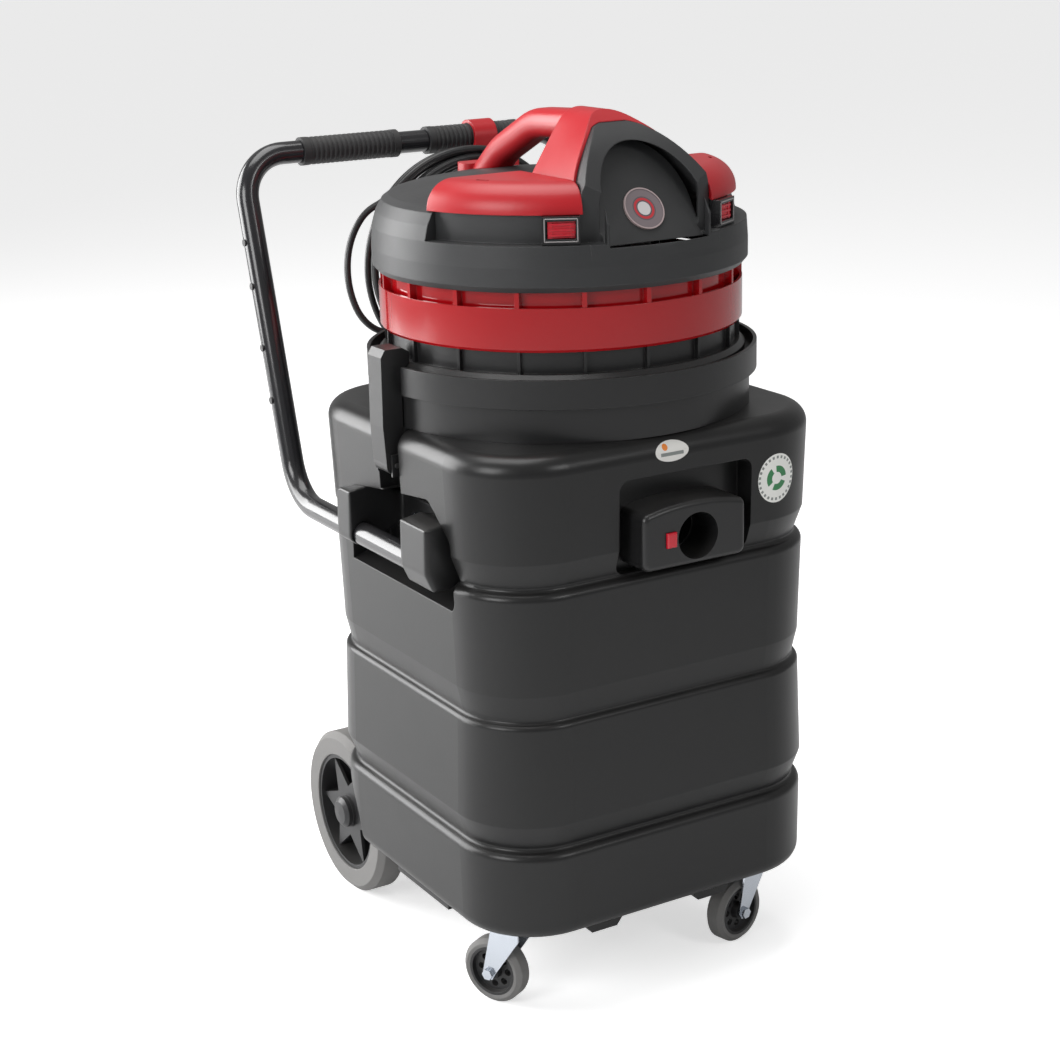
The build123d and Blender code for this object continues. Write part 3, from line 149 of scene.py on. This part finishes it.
def add(tree, kind, links=None, **settings):
    """Node with its settings, and its inputs linked to sockets or set to values."""
    node = tree.nodes.new(kind)
    for key, value in settings.items():
        setattr(node, key, value)
    for key, value in (links or {}).items():
        if isinstance(value, bpy.types.NodeSocket):
            tree.links.new(value, node.inputs[key])
        else:
            node.inputs[key].default_value = value
    return node


def math(tree, operation, first, second=0.0):
    """Output of a Math node."""
    return add(tree, "ShaderNodeMath", {0: first, 1: second}, operation=operation).outputs[0]


def distance(tree, across, up):
    """Length of a flat step from its two parts."""
    squares = [math(tree, "POWER", part, 2.0) for part in (across, up)]
    return math(tree, "SQRT", math(tree, "ADD", *squares))


def painted(tree, under, mask, colour):
    """Colour laid over another where a mask is one."""
    return add(tree, "ShaderNodeMix", {0: mask, 6: under, 7: colour}, data_type="RGBA").outputs[2]


# %% Grain: fine bumps and uneven gloss
grain, g_in, g_out = new_group("mould grain", [("Grain Size", 900.0), ("Cloud Size", 9.0)],
                               [("Height", "NodeSocketFloat"), ("Cloud", "NodeSocketFloat")])
g_where = add(grain, "ShaderNodeTexCoord")
g_fine = add(grain, "ShaderNodeTexNoise", {"Vector": g_where.outputs["Object"],
                                           "Scale": g_in.outputs["Grain Size"], "Detail": 2.0})
g_cloud = add(grain, "ShaderNodeTexNoise", {"Vector": g_where.outputs["Object"],
                                            "Scale": g_in.outputs["Cloud Size"], "Detail": 5.0,
                                            "Roughness": 0.6})
grain.links.new(g_fine.outputs[0], g_out.inputs["Height"])
grain.links.new(g_cloud.outputs[0], g_out.inputs["Cloud"])

# %% Dust: on what faces up, in patches
dust, d_in, d_out = new_group("settled dust", [("Amount", 0.2), ("Patch Size", 14.0)],
                              [("Mask", "NodeSocketFloat")])
d_where = add(dust, "ShaderNodeTexCoord")
d_normal = add(dust, "ShaderNodeNewGeometry")
d_split = add(dust, "ShaderNodeSeparateXYZ", {0: d_normal.outputs["Normal"]})
d_up = add(dust, "ShaderNodeMapRange", {0: d_split.outputs["Z"], 1: 0.2, 2: 1.0, 3: 0.0, 4: 1.0})
d_patch = add(dust, "ShaderNodeTexNoise", {"Vector": d_where.outputs["Object"],
                                           "Scale": d_in.outputs["Patch Size"], "Detail": 6.0})
d_soft = add(dust, "ShaderNodeMapRange", {0: d_patch.outputs[0], 1: 0.35, 2: 0.75, 3: 0.2, 4: 1.0})
d_lies = math(dust, "MULTIPLY", d_up.outputs[0], d_soft.outputs[0])
d_mask = math(dust, "MULTIPLY", d_lies, d_in.outputs["Amount"])
dust.links.new(d_mask, d_out.inputs["Mask"])

# %% Edge wear: where a rounded normal leaves the true one
wear, w_in, w_out = new_group("edge wear", [("Amount", 0.3), ("Chip Size", 120.0)],
                              [("Mask", "NodeSocketFloat")])
w_where = add(wear, "ShaderNodeTexCoord")
w_true = add(wear, "ShaderNodeNewGeometry")
w_round = add(wear, "ShaderNodeBevel", {"Radius": 1.6 * MM}, samples=4)
w_dot = add(wear, "ShaderNodeVectorMath", {0: w_round.outputs[0], 1: w_true.outputs["Normal"]},
            operation="DOT_PRODUCT")
w_edge = add(wear, "ShaderNodeMapRange", {0: w_dot.outputs["Value"], 1: 0.98, 2: 0.8, 3: 0.0, 4: 1.0})
w_chip = add(wear, "ShaderNodeTexNoise", {"Vector": w_where.outputs["Object"],
                                          "Scale": w_in.outputs["Chip Size"], "Detail": 5.0})
w_some = add(wear, "ShaderNodeMapRange", {0: w_chip.outputs[0], 1: 0.4, 2: 0.6, 3: 0.0, 4: 1.0})
w_rubs = math(wear, "MULTIPLY", w_edge.outputs[0], w_some.outputs[0])
w_mask = math(wear, "MULTIPLY", w_rubs, w_in.outputs["Amount"])
wear.links.new(w_mask, w_out.inputs["Mask"])
print("groups:", [g.name for g in bpy.data.node_groups])

# %% [markdown]
# ## One recipe for moulded and painted surfaces
# Nearly every finish here is a coloured skin with some grain, dust and wear, so one function builds the
# nodes and each material passes its own numbers. What differs more, such as the tyres or the badge, gets
# its own cell.

# %% The shared recipe
DUST_COLOUR = (0.42, 0.40, 0.37, 1)


def finish(name, colour, rough, grain_size=900.0, grain_depth=0.1, worn=(0.5, 0.5, 0.5, 1), wear_amount=0.25,
           dust_amount=0.12, metallic=0.0, coat=0.0, cloud=0.12, rounding=0.8, specular=0.5):
    """Principled material: colour varied in clouds, dust on top, paler edges, grain in the normal."""
    material = bpy.data.materials.new(name)
    material.use_nodes = True
    tree = material.node_tree
    shader = tree.nodes["Principled BSDF"]
    skin = add(tree, "ShaderNodeGroup", node_tree=grain)
    skin.inputs["Grain Size"].default_value = grain_size
    dusty = add(tree, "ShaderNodeGroup", node_tree=dust)
    dusty.inputs["Amount"].default_value = dust_amount
    rubbed = add(tree, "ShaderNodeGroup", node_tree=wear)
    rubbed.inputs["Amount"].default_value = wear_amount
    dark = tuple(c * (1 - cloud) for c in colour) + (1,)
    light = tuple(min(1, c * (1 + cloud)) for c in colour) + (1,)
    base = add(tree, "ShaderNodeMix", {0: skin.outputs["Cloud"], 6: dark, 7: light}, data_type="RGBA")
    edged = painted(tree, base.outputs[2], rubbed.outputs["Mask"], worn)
    dirty = painted(tree, edged, dusty.outputs["Mask"], DUST_COLOUR)
    tree.links.new(dirty, shader.inputs["Base Color"])
    glossy, dull = rough * 0.9, min(1, rough * 1.12)
    uneven = add(tree, "ShaderNodeMapRange", {0: skin.outputs["Cloud"], 1: 0.3, 2: 0.7, 3: glossy, 4: dull})
    duller = math(tree, "ADD", uneven.outputs[0], math(tree, "MULTIPLY", dusty.outputs["Mask"], 0.3))
    tree.links.new(duller, shader.inputs["Roughness"])
    rounded = add(tree, "ShaderNodeBevel", {"Radius": rounding * MM}, samples=4)
    bump = add(tree, "ShaderNodeBump", {"Strength": grain_depth, "Distance": 0.3 * MM,
                                        "Height": skin.outputs["Height"], "Normal": rounded.outputs[0]})
    tree.links.new(bump.outputs[0], shader.inputs["Normal"])
    shader.inputs["Metallic"].default_value = metallic
    shader.inputs["Coat Weight"].default_value = coat
    shader.inputs["Coat Roughness"].default_value = 0.08
    shader.inputs["Specular IOR Level"].default_value = specular
    return material


# %% The finishes
tank_black = finish("tank black", (0.0105, 0.0105, 0.0108), 0.31, grain_size=420, grain_depth=0.12,
                    worn=(0.07, 0.07, 0.07, 1), wear_amount=0.35, dust_amount=0.03, cloud=0.2, rounding=1.5,
                    specular=0.4)
moulded_black = finish("moulded black", (0.0125, 0.0125, 0.013), 0.33, worn=(0.08, 0.08, 0.08, 1),
                       dust_amount=0.06)
cover_grey = finish("cover charcoal", (0.024, 0.0248, 0.026), 0.46, grain_size=700, grain_depth=0.3,
                    worn=(0.12, 0.12, 0.12, 1), dust_amount=0.04, rounding=1.6)
cover_red = finish("cover red", (0.43, 0.006, 0.012), 0.36, grain_size=600, grain_depth=0.12,
                   worn=(0.75, 0.2, 0.2, 1), wear_amount=0.12, dust_amount=0.03, cloud=0.05, rounding=1.6)
band_red = finish("band red", (0.36, 0.003, 0.006), 0.10, grain_depth=0.02, worn=(0.6, 0.1, 0.1, 1),
                  wear_amount=0.1, dust_amount=0.02, coat=0.6, cloud=0.06)
switch_red = finish("switch red", (0.55, 0.01, 0.025), 0.25, grain_depth=0.03, wear_amount=0.1,
                    dust_amount=0.0, coat=0.3)
tube_black = finish("tube black", (0.012, 0.012, 0.014), 0.22, grain_size=250, grain_depth=0.06,
                    worn=(0.3, 0.3, 0.3, 1), wear_amount=0.2, dust_amount=0.04, coat=0.35)
grip_black = finish("grip rubber", (0.016, 0.016, 0.017), 0.62, grain_size=1400, grain_depth=0.3,
                    worn=(0.06, 0.06, 0.06, 1), dust_amount=0.1, rounding=0.4)
wheel_black = finish("wheel centre black", (0.018, 0.018, 0.019), 0.42, worn=(0.1, 0.1, 0.1, 1),
                     dust_amount=0.1)
cord_black = finish("cord sheath", (0.013, 0.013, 0.014), 0.34, grain_size=1500, grain_depth=0.08,
                    wear_amount=0.0, dust_amount=0.05, rounding=0.1)
zinc = finish("bright zinc", (0.62, 0.66, 0.72), 0.24, grain_size=200, grain_depth=0.05,
              worn=(0.8, 0.8, 0.8, 1), wear_amount=0.2, dust_amount=0.1, metallic=1.0, cloud=0.18,
              rounding=0.5)
steel = finish("plain steel", (0.5, 0.5, 0.51), 0.32, grain_size=300, grain_depth=0.08, dust_amount=0.05,
               metallic=1.0, cloud=0.12, rounding=0.4)
frame_metal = finish("switch frame", (0.42, 0.40, 0.40), 0.3, wear_amount=0.1, dust_amount=0.0, metallic=0.6)
gloss_black = finish("gloss black", (0.012, 0.012, 0.013), 0.16, grain_depth=0.03,
                     worn=(0.07, 0.07, 0.07, 1), dust_amount=0.02, coat=0.3)
foam = finish("foam", (0.05, 0.05, 0.05), 0.9, grain_size=500, grain_depth=0.8, wear_amount=0.0)
filter_cloth = finish("filter cloth", (0.66, 0.65, 0.61), 0.9, grain_size=1100, grain_depth=0.6,
                      wear_amount=0.0)
float_white = finish("float white", (0.8, 0.8, 0.78), 0.4, wear_amount=0.0)
print("materials:", len(bpy.data.materials))

# %% [markdown]
# ## Tyres
# The tread is grey rubber that marks no floor. It is paler where it has rolled through dust, which lies in
# clouds on what faces up, and there is more grain than on the plastic.

# %% Tyre rubber
tyre_grey = finish("tyre rubber", (0.165, 0.162, 0.158), 0.68, grain_size=330, grain_depth=0.5,
                   worn=(0.3, 0.29, 0.28, 1), wear_amount=0.5, dust_amount=0.15, cloud=0.16, rounding=2.0)

# %% [markdown]
# ## Dressing the CAD pieces
# A CAD piece keeps its mesh and only takes a material. The table below goes from the finish to the
# pieces.

# %% Which piece has which finish
DRESS = {
    tank_black: ["tank"],
    moulded_black: ["collar", "inlet_block", "inlet_tube", "latch_left", "latch_right", "latch_brackets",
                    "handle_brackets", "axle_brackets", "head_base", "motor_plate", "float_cage"],
    gloss_black: ["switch_housings"],
    cover_grey: ["head_cover"],
    cover_red: ["top_cover", "cord_hook"],
    band_red: ["red_band"],
    switch_red: ["rocker_left", "rocker_right", "release_button"],
    tube_black: ["handle_tube"],
    grip_black: ["grip_left", "grip_right"],
    wheel_black: ["wheel_hub_left", "wheel_hub_right", "hub_cap_left", "hub_cap_right", "tube_plugs",
                  "caster_hub_left", "caster_hub_right"],
    tyre_grey: ["tyre_left", "tyre_right", "caster_tyre_left", "caster_tyre_right"],
    zinc: ["caster_plates", "caster_fork_left", "caster_fork_right", "caster_axle_left", "caster_axle_right",
           "caster_screws", "bracket_bolts"],
    steel: ["collar_screws", "inlet_screws", "latch_pins", "rear_axle", "axle_washers", "head_screws",
            "motor_cases", "motor_rotor_left", "motor_rotor_right"],
    foam: ["seat_gasket", "exhaust_foam"],
    filter_cloth: ["filter"],
    float_white: ["float_ball"],
    cord_black: ["cord_gland", "cord_lead", "cord_coil", "plug"],
}


def dress(node, material):
    """Give a CAD piece its finish."""
    mesh = nodes[node].data
    mesh.materials.clear()
    mesh.materials.append(material)


for material, names in DRESS.items():
    for name in names:
        dress(name, material)
print("dressed:", sum(len(names) for names in DRESS.values()))

# %% [markdown]
# ## Softer brackets
# The handle's brackets are thick mouldings with generous rounds. Their copy is rebuilt from small cells
# and relaxed, which rounds every edge and leaves the flats alone.

# %% Rounded brackets
CELL, RELAX_STEPS = 1.6, 10


def softened(node, material, body):
    """Rounded stand-in for a CAD piece."""
    piece = bpy.data.objects.new(node + "_soft", nodes[node].data.copy())
    bpy.context.scene.collection.objects.link(piece)
    cells = piece.modifiers.new("cells", "REMESH")
    cells.mode = "VOXEL"
    cells.voxel_size = CELL * MM
    relax = piece.modifiers.new("relax", "SMOOTH")
    relax.factor = 0.5
    relax.iterations = RELAX_STEPS
    bpy.context.view_layer.update()
    made = bpy.data.meshes.new_from_object(piece.evaluated_get(bpy.context.evaluated_depsgraph_get()))
    bpy.data.objects.remove(piece)
    bm = bmesh.new()
    bm.from_mesh(made)
    soft = new_piece(node + "_soft", bm, material, body, smooth=60)
    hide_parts(node)
    return soft


softened("handle_brackets", moulded_black, "root")

# %% [markdown]
# ## The badge
# A round lacquered plate on the nose: a mauve-grey field inside a paler rim. Its pattern is a function of
# the distance from its middle, so it needs no picture. The mark on it is a plain ring of our own.

# %% Badge material
BADGE_RADIUS = 25 * MM                                          # where the colours of the rings end
badge_low, badge_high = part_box("badge")
badge_middle = (badge_low + badge_high) / 2
badge_paint = bpy.data.materials.new("badge lacquer")
badge_paint.use_nodes = True
b_tree = badge_paint.node_tree
b_shader = b_tree.nodes["Principled BSDF"]
b_where = add(b_tree, "ShaderNodeTexCoord")
b_far = add(b_tree, "ShaderNodeVectorMath", {0: b_where.outputs["Object"], 1: badge_middle},
            operation="DISTANCE")
b_share = math(b_tree, "DIVIDE", b_far.outputs["Value"], BADGE_RADIUS)
b_bands = add(b_tree, "ShaderNodeValToRGB", {0: b_share})
BADGE_RINGS = ((0.0, (0.62, 0.60, 0.60, 1)), (0.30, (0.10, 0.09, 0.10, 1)), (0.36, (0.50, 0.03, 0.04, 1)),
               (0.47, (0.10, 0.09, 0.10, 1)), (0.53, (0.19, 0.155, 0.165, 1)),
               (0.82, (0.19, 0.155, 0.165, 1)), (0.86, (0.42, 0.33, 0.33, 1)))
b_ramp = b_bands.color_ramp
b_ramp.interpolation = "CONSTANT"
b_ramp.elements[0].color = BADGE_RINGS[0][1]
b_ramp.elements.remove(b_ramp.elements[1])
for position, colour in BADGE_RINGS[1:]:
    b_ramp.elements.new(position).color = colour
b_tree.links.new(b_bands.outputs[0], b_shader.inputs["Base Color"])
b_shader.inputs["Roughness"].default_value = 0.3
b_shader.inputs["Coat Weight"].default_value = 0.5
dress("badge", badge_paint)

# %% [markdown]
# ## The cord
# It leaves the gland at the back of the head, drops, swings left and up, and then hangs in about ten
# loose turns on the red hook. The turns are tight where they hang on the peg and fan out below. Each turn
# is a ring between a small one and a large one, and the ring's share grows with the turn, so one loop
# gives all the turns.

# %% The cord's route
GLAND_END = (-20, 225.6, 800.4)
LEAD = [GLAND_END, (-20, 247.8, 781.7), (-21, 261, 756), (-24, 266, 725), (-31, 268, 700), (-47, 269, 682),
        (-69, 270, 675), (-91, 273, 681), (-107, 279, 698), (-114, 286, 722), (-115, 292, 748),
        (-110, 297, 774), (-99, 300, 798), (-82, 300, 819)]
CORD_RADIUS = 4.0
TURNS, PER_TURN = 10, 16
OUTER_RING, INNER_RING = (50, 745, 140), (72, 757, 104.5)       # across, height, radius
COLUMNS = (-12, 4, -4, 12)                                      # places across the peg that the turns take
START_ANGLE, END_ANGLE = 142.0, 66.0
FAN_FROM, FAN_TO = 170.0, 290.0                                 # where each turn changes column


def coil_point(turned):
    """Point of the coil after an angle in degrees turned from its start, clockwise seen from the front."""
    whole = (TURNS - 1) * 360 + (START_ANGLE - END_ANGLE)
    share = 1 - turned / whole
    ring = [small + (large - small) * share for small, large in zip(INNER_RING, OUTER_RING)]
    angle = START_ANGLE - turned
    turn, within = divmod(turned, 360)
    move = min(1, max(0, (within - FAN_FROM) / (FAN_TO - FAN_FROM)))
    move = move * move * (3 - 2 * move)
    here, after = COLUMNS[int(turn) % 4], COLUMNS[(int(turn) + 1) % 4]
    y = 300 + here + (after - here) * move
    return (ring[0] + ring[2] * cos(radians(angle)), y, ring[1] + ring[2] * sin(radians(angle)))


coil_turned = (TURNS - 1) * 360 + (START_ANGLE - END_ANGLE)
coil_steps = int(coil_turned / 360 * PER_TURN)
COIL = [coil_point(coil_turned * step / coil_steps) for step in range(coil_steps + 1)]
TAIL = [(121, 300, 850), (131, 300, 842), (134, 300, 832), (134, 300, 823)]
route = [place(*point) for point in LEAD + COIL + TAIL]

# %% The cord as a curve, its own line and its tube
line = bpy.data.curves.new("cord line", "CURVE")
line.dimensions = "3D"
line.resolution_u = 6
spline = line.splines.new("NURBS")
spline.points.add(len(route) - 1)
for point, where in zip(spline.points, route):
    point.co = (*where, 1)
spline.order_u = 3
spline.use_endpoint_u = True
line_object = bpy.data.objects.new("cord line", line)
bpy.context.scene.collection.objects.link(line_object)
bpy.context.view_layer.update()
read = bpy.data.meshes.new_from_object(line_object)
line.bevel_depth = CORD_RADIUS * MM
line.bevel_resolution = 3
line.use_fill_caps = True
bpy.context.view_layer.update()
tube = bpy.data.meshes.new_from_object(line_object)
tube.name = "cord"
tube.materials.clear()
tube.materials.append(cord_black)
cord = bpy.data.objects.new("cord", tube)
bpy.context.scene.collection.objects.link(cord)
bpy.data.objects.remove(line_object)
for polygon in tube.polygons:
    polygon.use_smooth = True
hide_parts("cord_lead", "cord_coil")
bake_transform(cord)

# %% [markdown]
# ## Stickers
# Two paper stickers on the tank's front: a small oval one above the inlet and a round one with three
# green arcs. Each is a disc of small faces dropped onto the tank along its front normal, so it follows
# the rounded corner. Their prints are our own: arcs, dashes and a dot, worked out from the place on the
# disc.

# %% Sticker shape
PAPER = 0.25 * MM


def sticker(name, middle, half_wide, half_high, material, rings=14, steps=48):
    """Oval sheet laid on the tank's front, a paper's thickness off it."""
    bm = bmesh.new()
    bmesh.ops.create_circle(bm, cap_ends=False, segments=steps, radius=1)
    rim = list(bm.verts)
    rows = [[bm.verts.new(vert.co * (ring / rings)) for vert in rim] for ring in range(1, rings)] + [rim]
    centre = bm.verts.new((0, 0, 0))
    for one in range(steps):
        after = (one + 1) % steps
        bm.faces.new((centre, rows[0][one], rows[0][after]))
        for inner, outer in zip(rows, rows[1:]):
            bm.faces.new((inner[one], outer[one], outer[after], inner[after]))
    for vert in bm.verts:
        start = middle + Vector((vert.co.x * half_wide * MM, -0.2, vert.co.y * half_high * MM))
        where, normal = nodes["tank"].ray_cast(start, (0, 1, 0))[1:3]
        vert.co = where + normal * PAPER
    return new_piece(name, bm, material, "root")


def sticker_paint(name, middle):
    """Paper material, and its nodes for the place on it: millimetres across and up from the middle."""
    material = bpy.data.materials.new(name)
    material.use_nodes = True
    tree = material.node_tree
    where = add(tree, "ShaderNodeTexCoord")
    off = add(tree, "ShaderNodeVectorMath", {0: where.outputs["Object"], 1: middle}, operation="SUBTRACT")
    parts = add(tree, "ShaderNodeSeparateXYZ", {0: off.outputs[0]})
    across = math(tree, "MULTIPLY", parts.outputs[0], 1000)
    up = math(tree, "MULTIPLY", parts.outputs[2], 1000)
    tree.nodes["Principled BSDF"].inputs["Roughness"].default_value = 0.35
    return material, tree, across, up


def within(tree, value, low, high):
    """One where a value lies between two limits."""
    above, below = math(tree, "GREATER_THAN", value, low), math(tree, "LESS_THAN", value, high)
    return math(tree, "MULTIPLY", above, below)


# %% Round sticker: three arcs inside a ring of dashes
PAPER_WHITE, PRINT_GREEN, PRINT_GREY = (0.80, 0.80, 0.77, 1), (0.03, 0.20, 0.07, 1), (0.22, 0.24, 0.23, 1)
ROUND_MIDDLE = place(133.5, -216, 571)
round_paint, r_tree, r_across, r_up = sticker_paint("round sticker print", ROUND_MIDDLE)
r_far = distance(r_tree, r_across, r_up)
r_turn = math(r_tree, "DIVIDE", math(r_tree, "ARCTAN2", r_up, r_across), 2 * pi)
r_third = math(r_tree, "FRACT", math(r_tree, "ADD", math(r_tree, "MULTIPLY", r_turn, 3.0), 3.1))
r_dash = math(r_tree, "FRACT", math(r_tree, "ADD", math(r_tree, "MULTIPLY", r_turn, 26.0), 26.0))
arcs = math(r_tree, "MULTIPLY", within(r_tree, r_far, 6.5, 13.5), within(r_tree, r_third, 0.14, 0.9))
dashes = math(r_tree, "MULTIPLY", within(r_tree, r_far, 21.5, 24.5), within(r_tree, r_dash, 0.2, 0.7))
r_print = painted(r_tree, PAPER_WHITE, arcs, PRINT_GREEN)
r_print = painted(r_tree, r_print, dashes, PRINT_GREY)
r_tree.links.new(r_print, r_tree.nodes["Principled BSDF"].inputs["Base Color"])
sticker("round_sticker", ROUND_MIDDLE, 25, 27, round_paint)

# %% Oval sticker: an orange dot over a grey bar
OVAL_MIDDLE = place(-2, -216, 621.6)
oval_paint, o_tree, o_across, o_up = sticker_paint("oval sticker print", OVAL_MIDDLE)
o_dot = distance(o_tree, math(o_tree, "ADD", o_across, 8.0), math(o_tree, "SUBTRACT", o_up, 5.0))
o_bar = math(o_tree, "MULTIPLY", within(o_tree, o_across, -14.0, 14.0), within(o_tree, o_up, -4.2, -0.6))
o_round = math(o_tree, "LESS_THAN", o_dot, 3.4)
o_print = painted(o_tree, (0.72, 0.71, 0.68, 1), o_round, (0.75, 0.22, 0.03, 1))
o_print = painted(o_tree, o_print, o_bar, PRINT_GREY)
o_tree.links.new(o_print, o_tree.nodes["Principled BSDF"].inputs["Base Color"])
sticker("oval_sticker", OVAL_MIDDLE, 20.5, 10.5, oval_paint, rings=6)

# %% [markdown]
# ## Frames of the switches
# A thin pale metal frame edges each switch: four thin bars, turned with the switch.

# %% Switch frames
SWITCH_TURN, SWITCH_FACE, SWITCH_HEIGHT = 31.0, 196.0, 852.0
FRAME_WIDE, FRAME_HIGH, FRAME_ROD = 33.0, 22.6, 0.6
for side, sign in (("left", -1), ("right", 1)):
    bm = bmesh.new()
    corners = [(-1, -1), (1, -1), (1, 1), (-1, 1)]
    ends = [(x * FRAME_WIDE / 2, z * FRAME_HIGH / 2) for x, z in corners]
    for (x0, z0), (x1, z1) in zip(ends, ends[1:] + ends[:1]):
        rod = Vector(((x0 + x1) / 2, -SWITCH_FACE, SWITCH_HEIGHT + (z0 + z1) / 2))
        size = Vector((abs(x1 - x0) + 2 * FRAME_ROD, 2 * FRAME_ROD, abs(z1 - z0) + 2 * FRAME_ROD))
        turn = Matrix.Rotation(radians(SWITCH_TURN * sign), 4, "Z")
        bar = turn @ Matrix.Translation(rod) @ Matrix.Diagonal((*size, 1))
        bmesh.ops.create_cube(bm, size=1, matrix=Matrix.Translation(MIDDLE) @ Matrix.Scale(MM, 4) @ bar)
    new_piece(f"switch_frame_{side}", bm, frame_metal, "head")

# %% [markdown]
# ## Floor and light
# A white floor, a half-bright surround, and soft lamps. The broadest stands behind on the left, so that
# the left faces mirror it at a shallow angle and the front ones stay dark.

# %% Floor
floor_bm = bmesh.new()
bmesh.ops.create_grid(floor_bm, x_segments=1, y_segments=1, size=30)
floor_mesh = bpy.data.meshes.new("floor")
floor_bm.to_mesh(floor_mesh)
floor_bm.free()
floor_paint = bpy.data.materials.new("floor")
floor_paint.use_nodes = True
floor_shader = floor_paint.node_tree.nodes["Principled BSDF"]
floor_shader.inputs["Base Color"].default_value = (0.86, 0.86, 0.86, 1)
floor_shader.inputs["Roughness"].default_value = 0.8
floor_shader.inputs["Emission Color"].default_value = (1, 1, 1, 1)
seen = add(floor_paint.node_tree, "ShaderNodeLightPath")
lift = math(floor_paint.node_tree, "MULTIPLY", seen.outputs["Is Camera Ray"], 0.56)
floor_paint.node_tree.links.new(lift, floor_shader.inputs["Emission Strength"])
floor_mesh.materials.append(floor_paint)
floor = bpy.data.objects.new("floor", floor_mesh)
bpy.context.scene.collection.objects.link(floor)

# %% Lights
world = bpy.data.worlds.new("surround")
world.use_nodes = True
world.node_tree.nodes["Background"].inputs[0].default_value = (1, 1, 1, 1)
world.node_tree.nodes["Background"].inputs[1].default_value = 0.3
bpy.context.scene.world = world
bpy.context.scene.view_settings.view_transform = "Standard"
LAMPS = (("rear left lamp", (-2300, 2600, 1500), (0, 0, 500), 2.6, 170),
         ("left lamp", (-2900, -900, 1900), (0, 0, 500), 1.4, 42),
         ("front lamp", (1100, -3200, 2500), (0, 0, 500), 1.0, 20),
         ("top lamp", (-200, 300, 3200), (0, 0, 500), 2.0, 50))
for name, where, aim, size, watts in LAMPS:
    lamp = bpy.data.lights.new(name, "AREA")
    lamp.size = size
    lamp.energy = watts
    lamp_object = bpy.data.objects.new(name, lamp)
    lamp_object.location = place(*where)
    lamp_object.rotation_euler = (place(*aim) - place(*where)).to_track_quat("-Z", "Y").to_euler()
    bpy.context.scene.collection.objects.link(lamp_object)
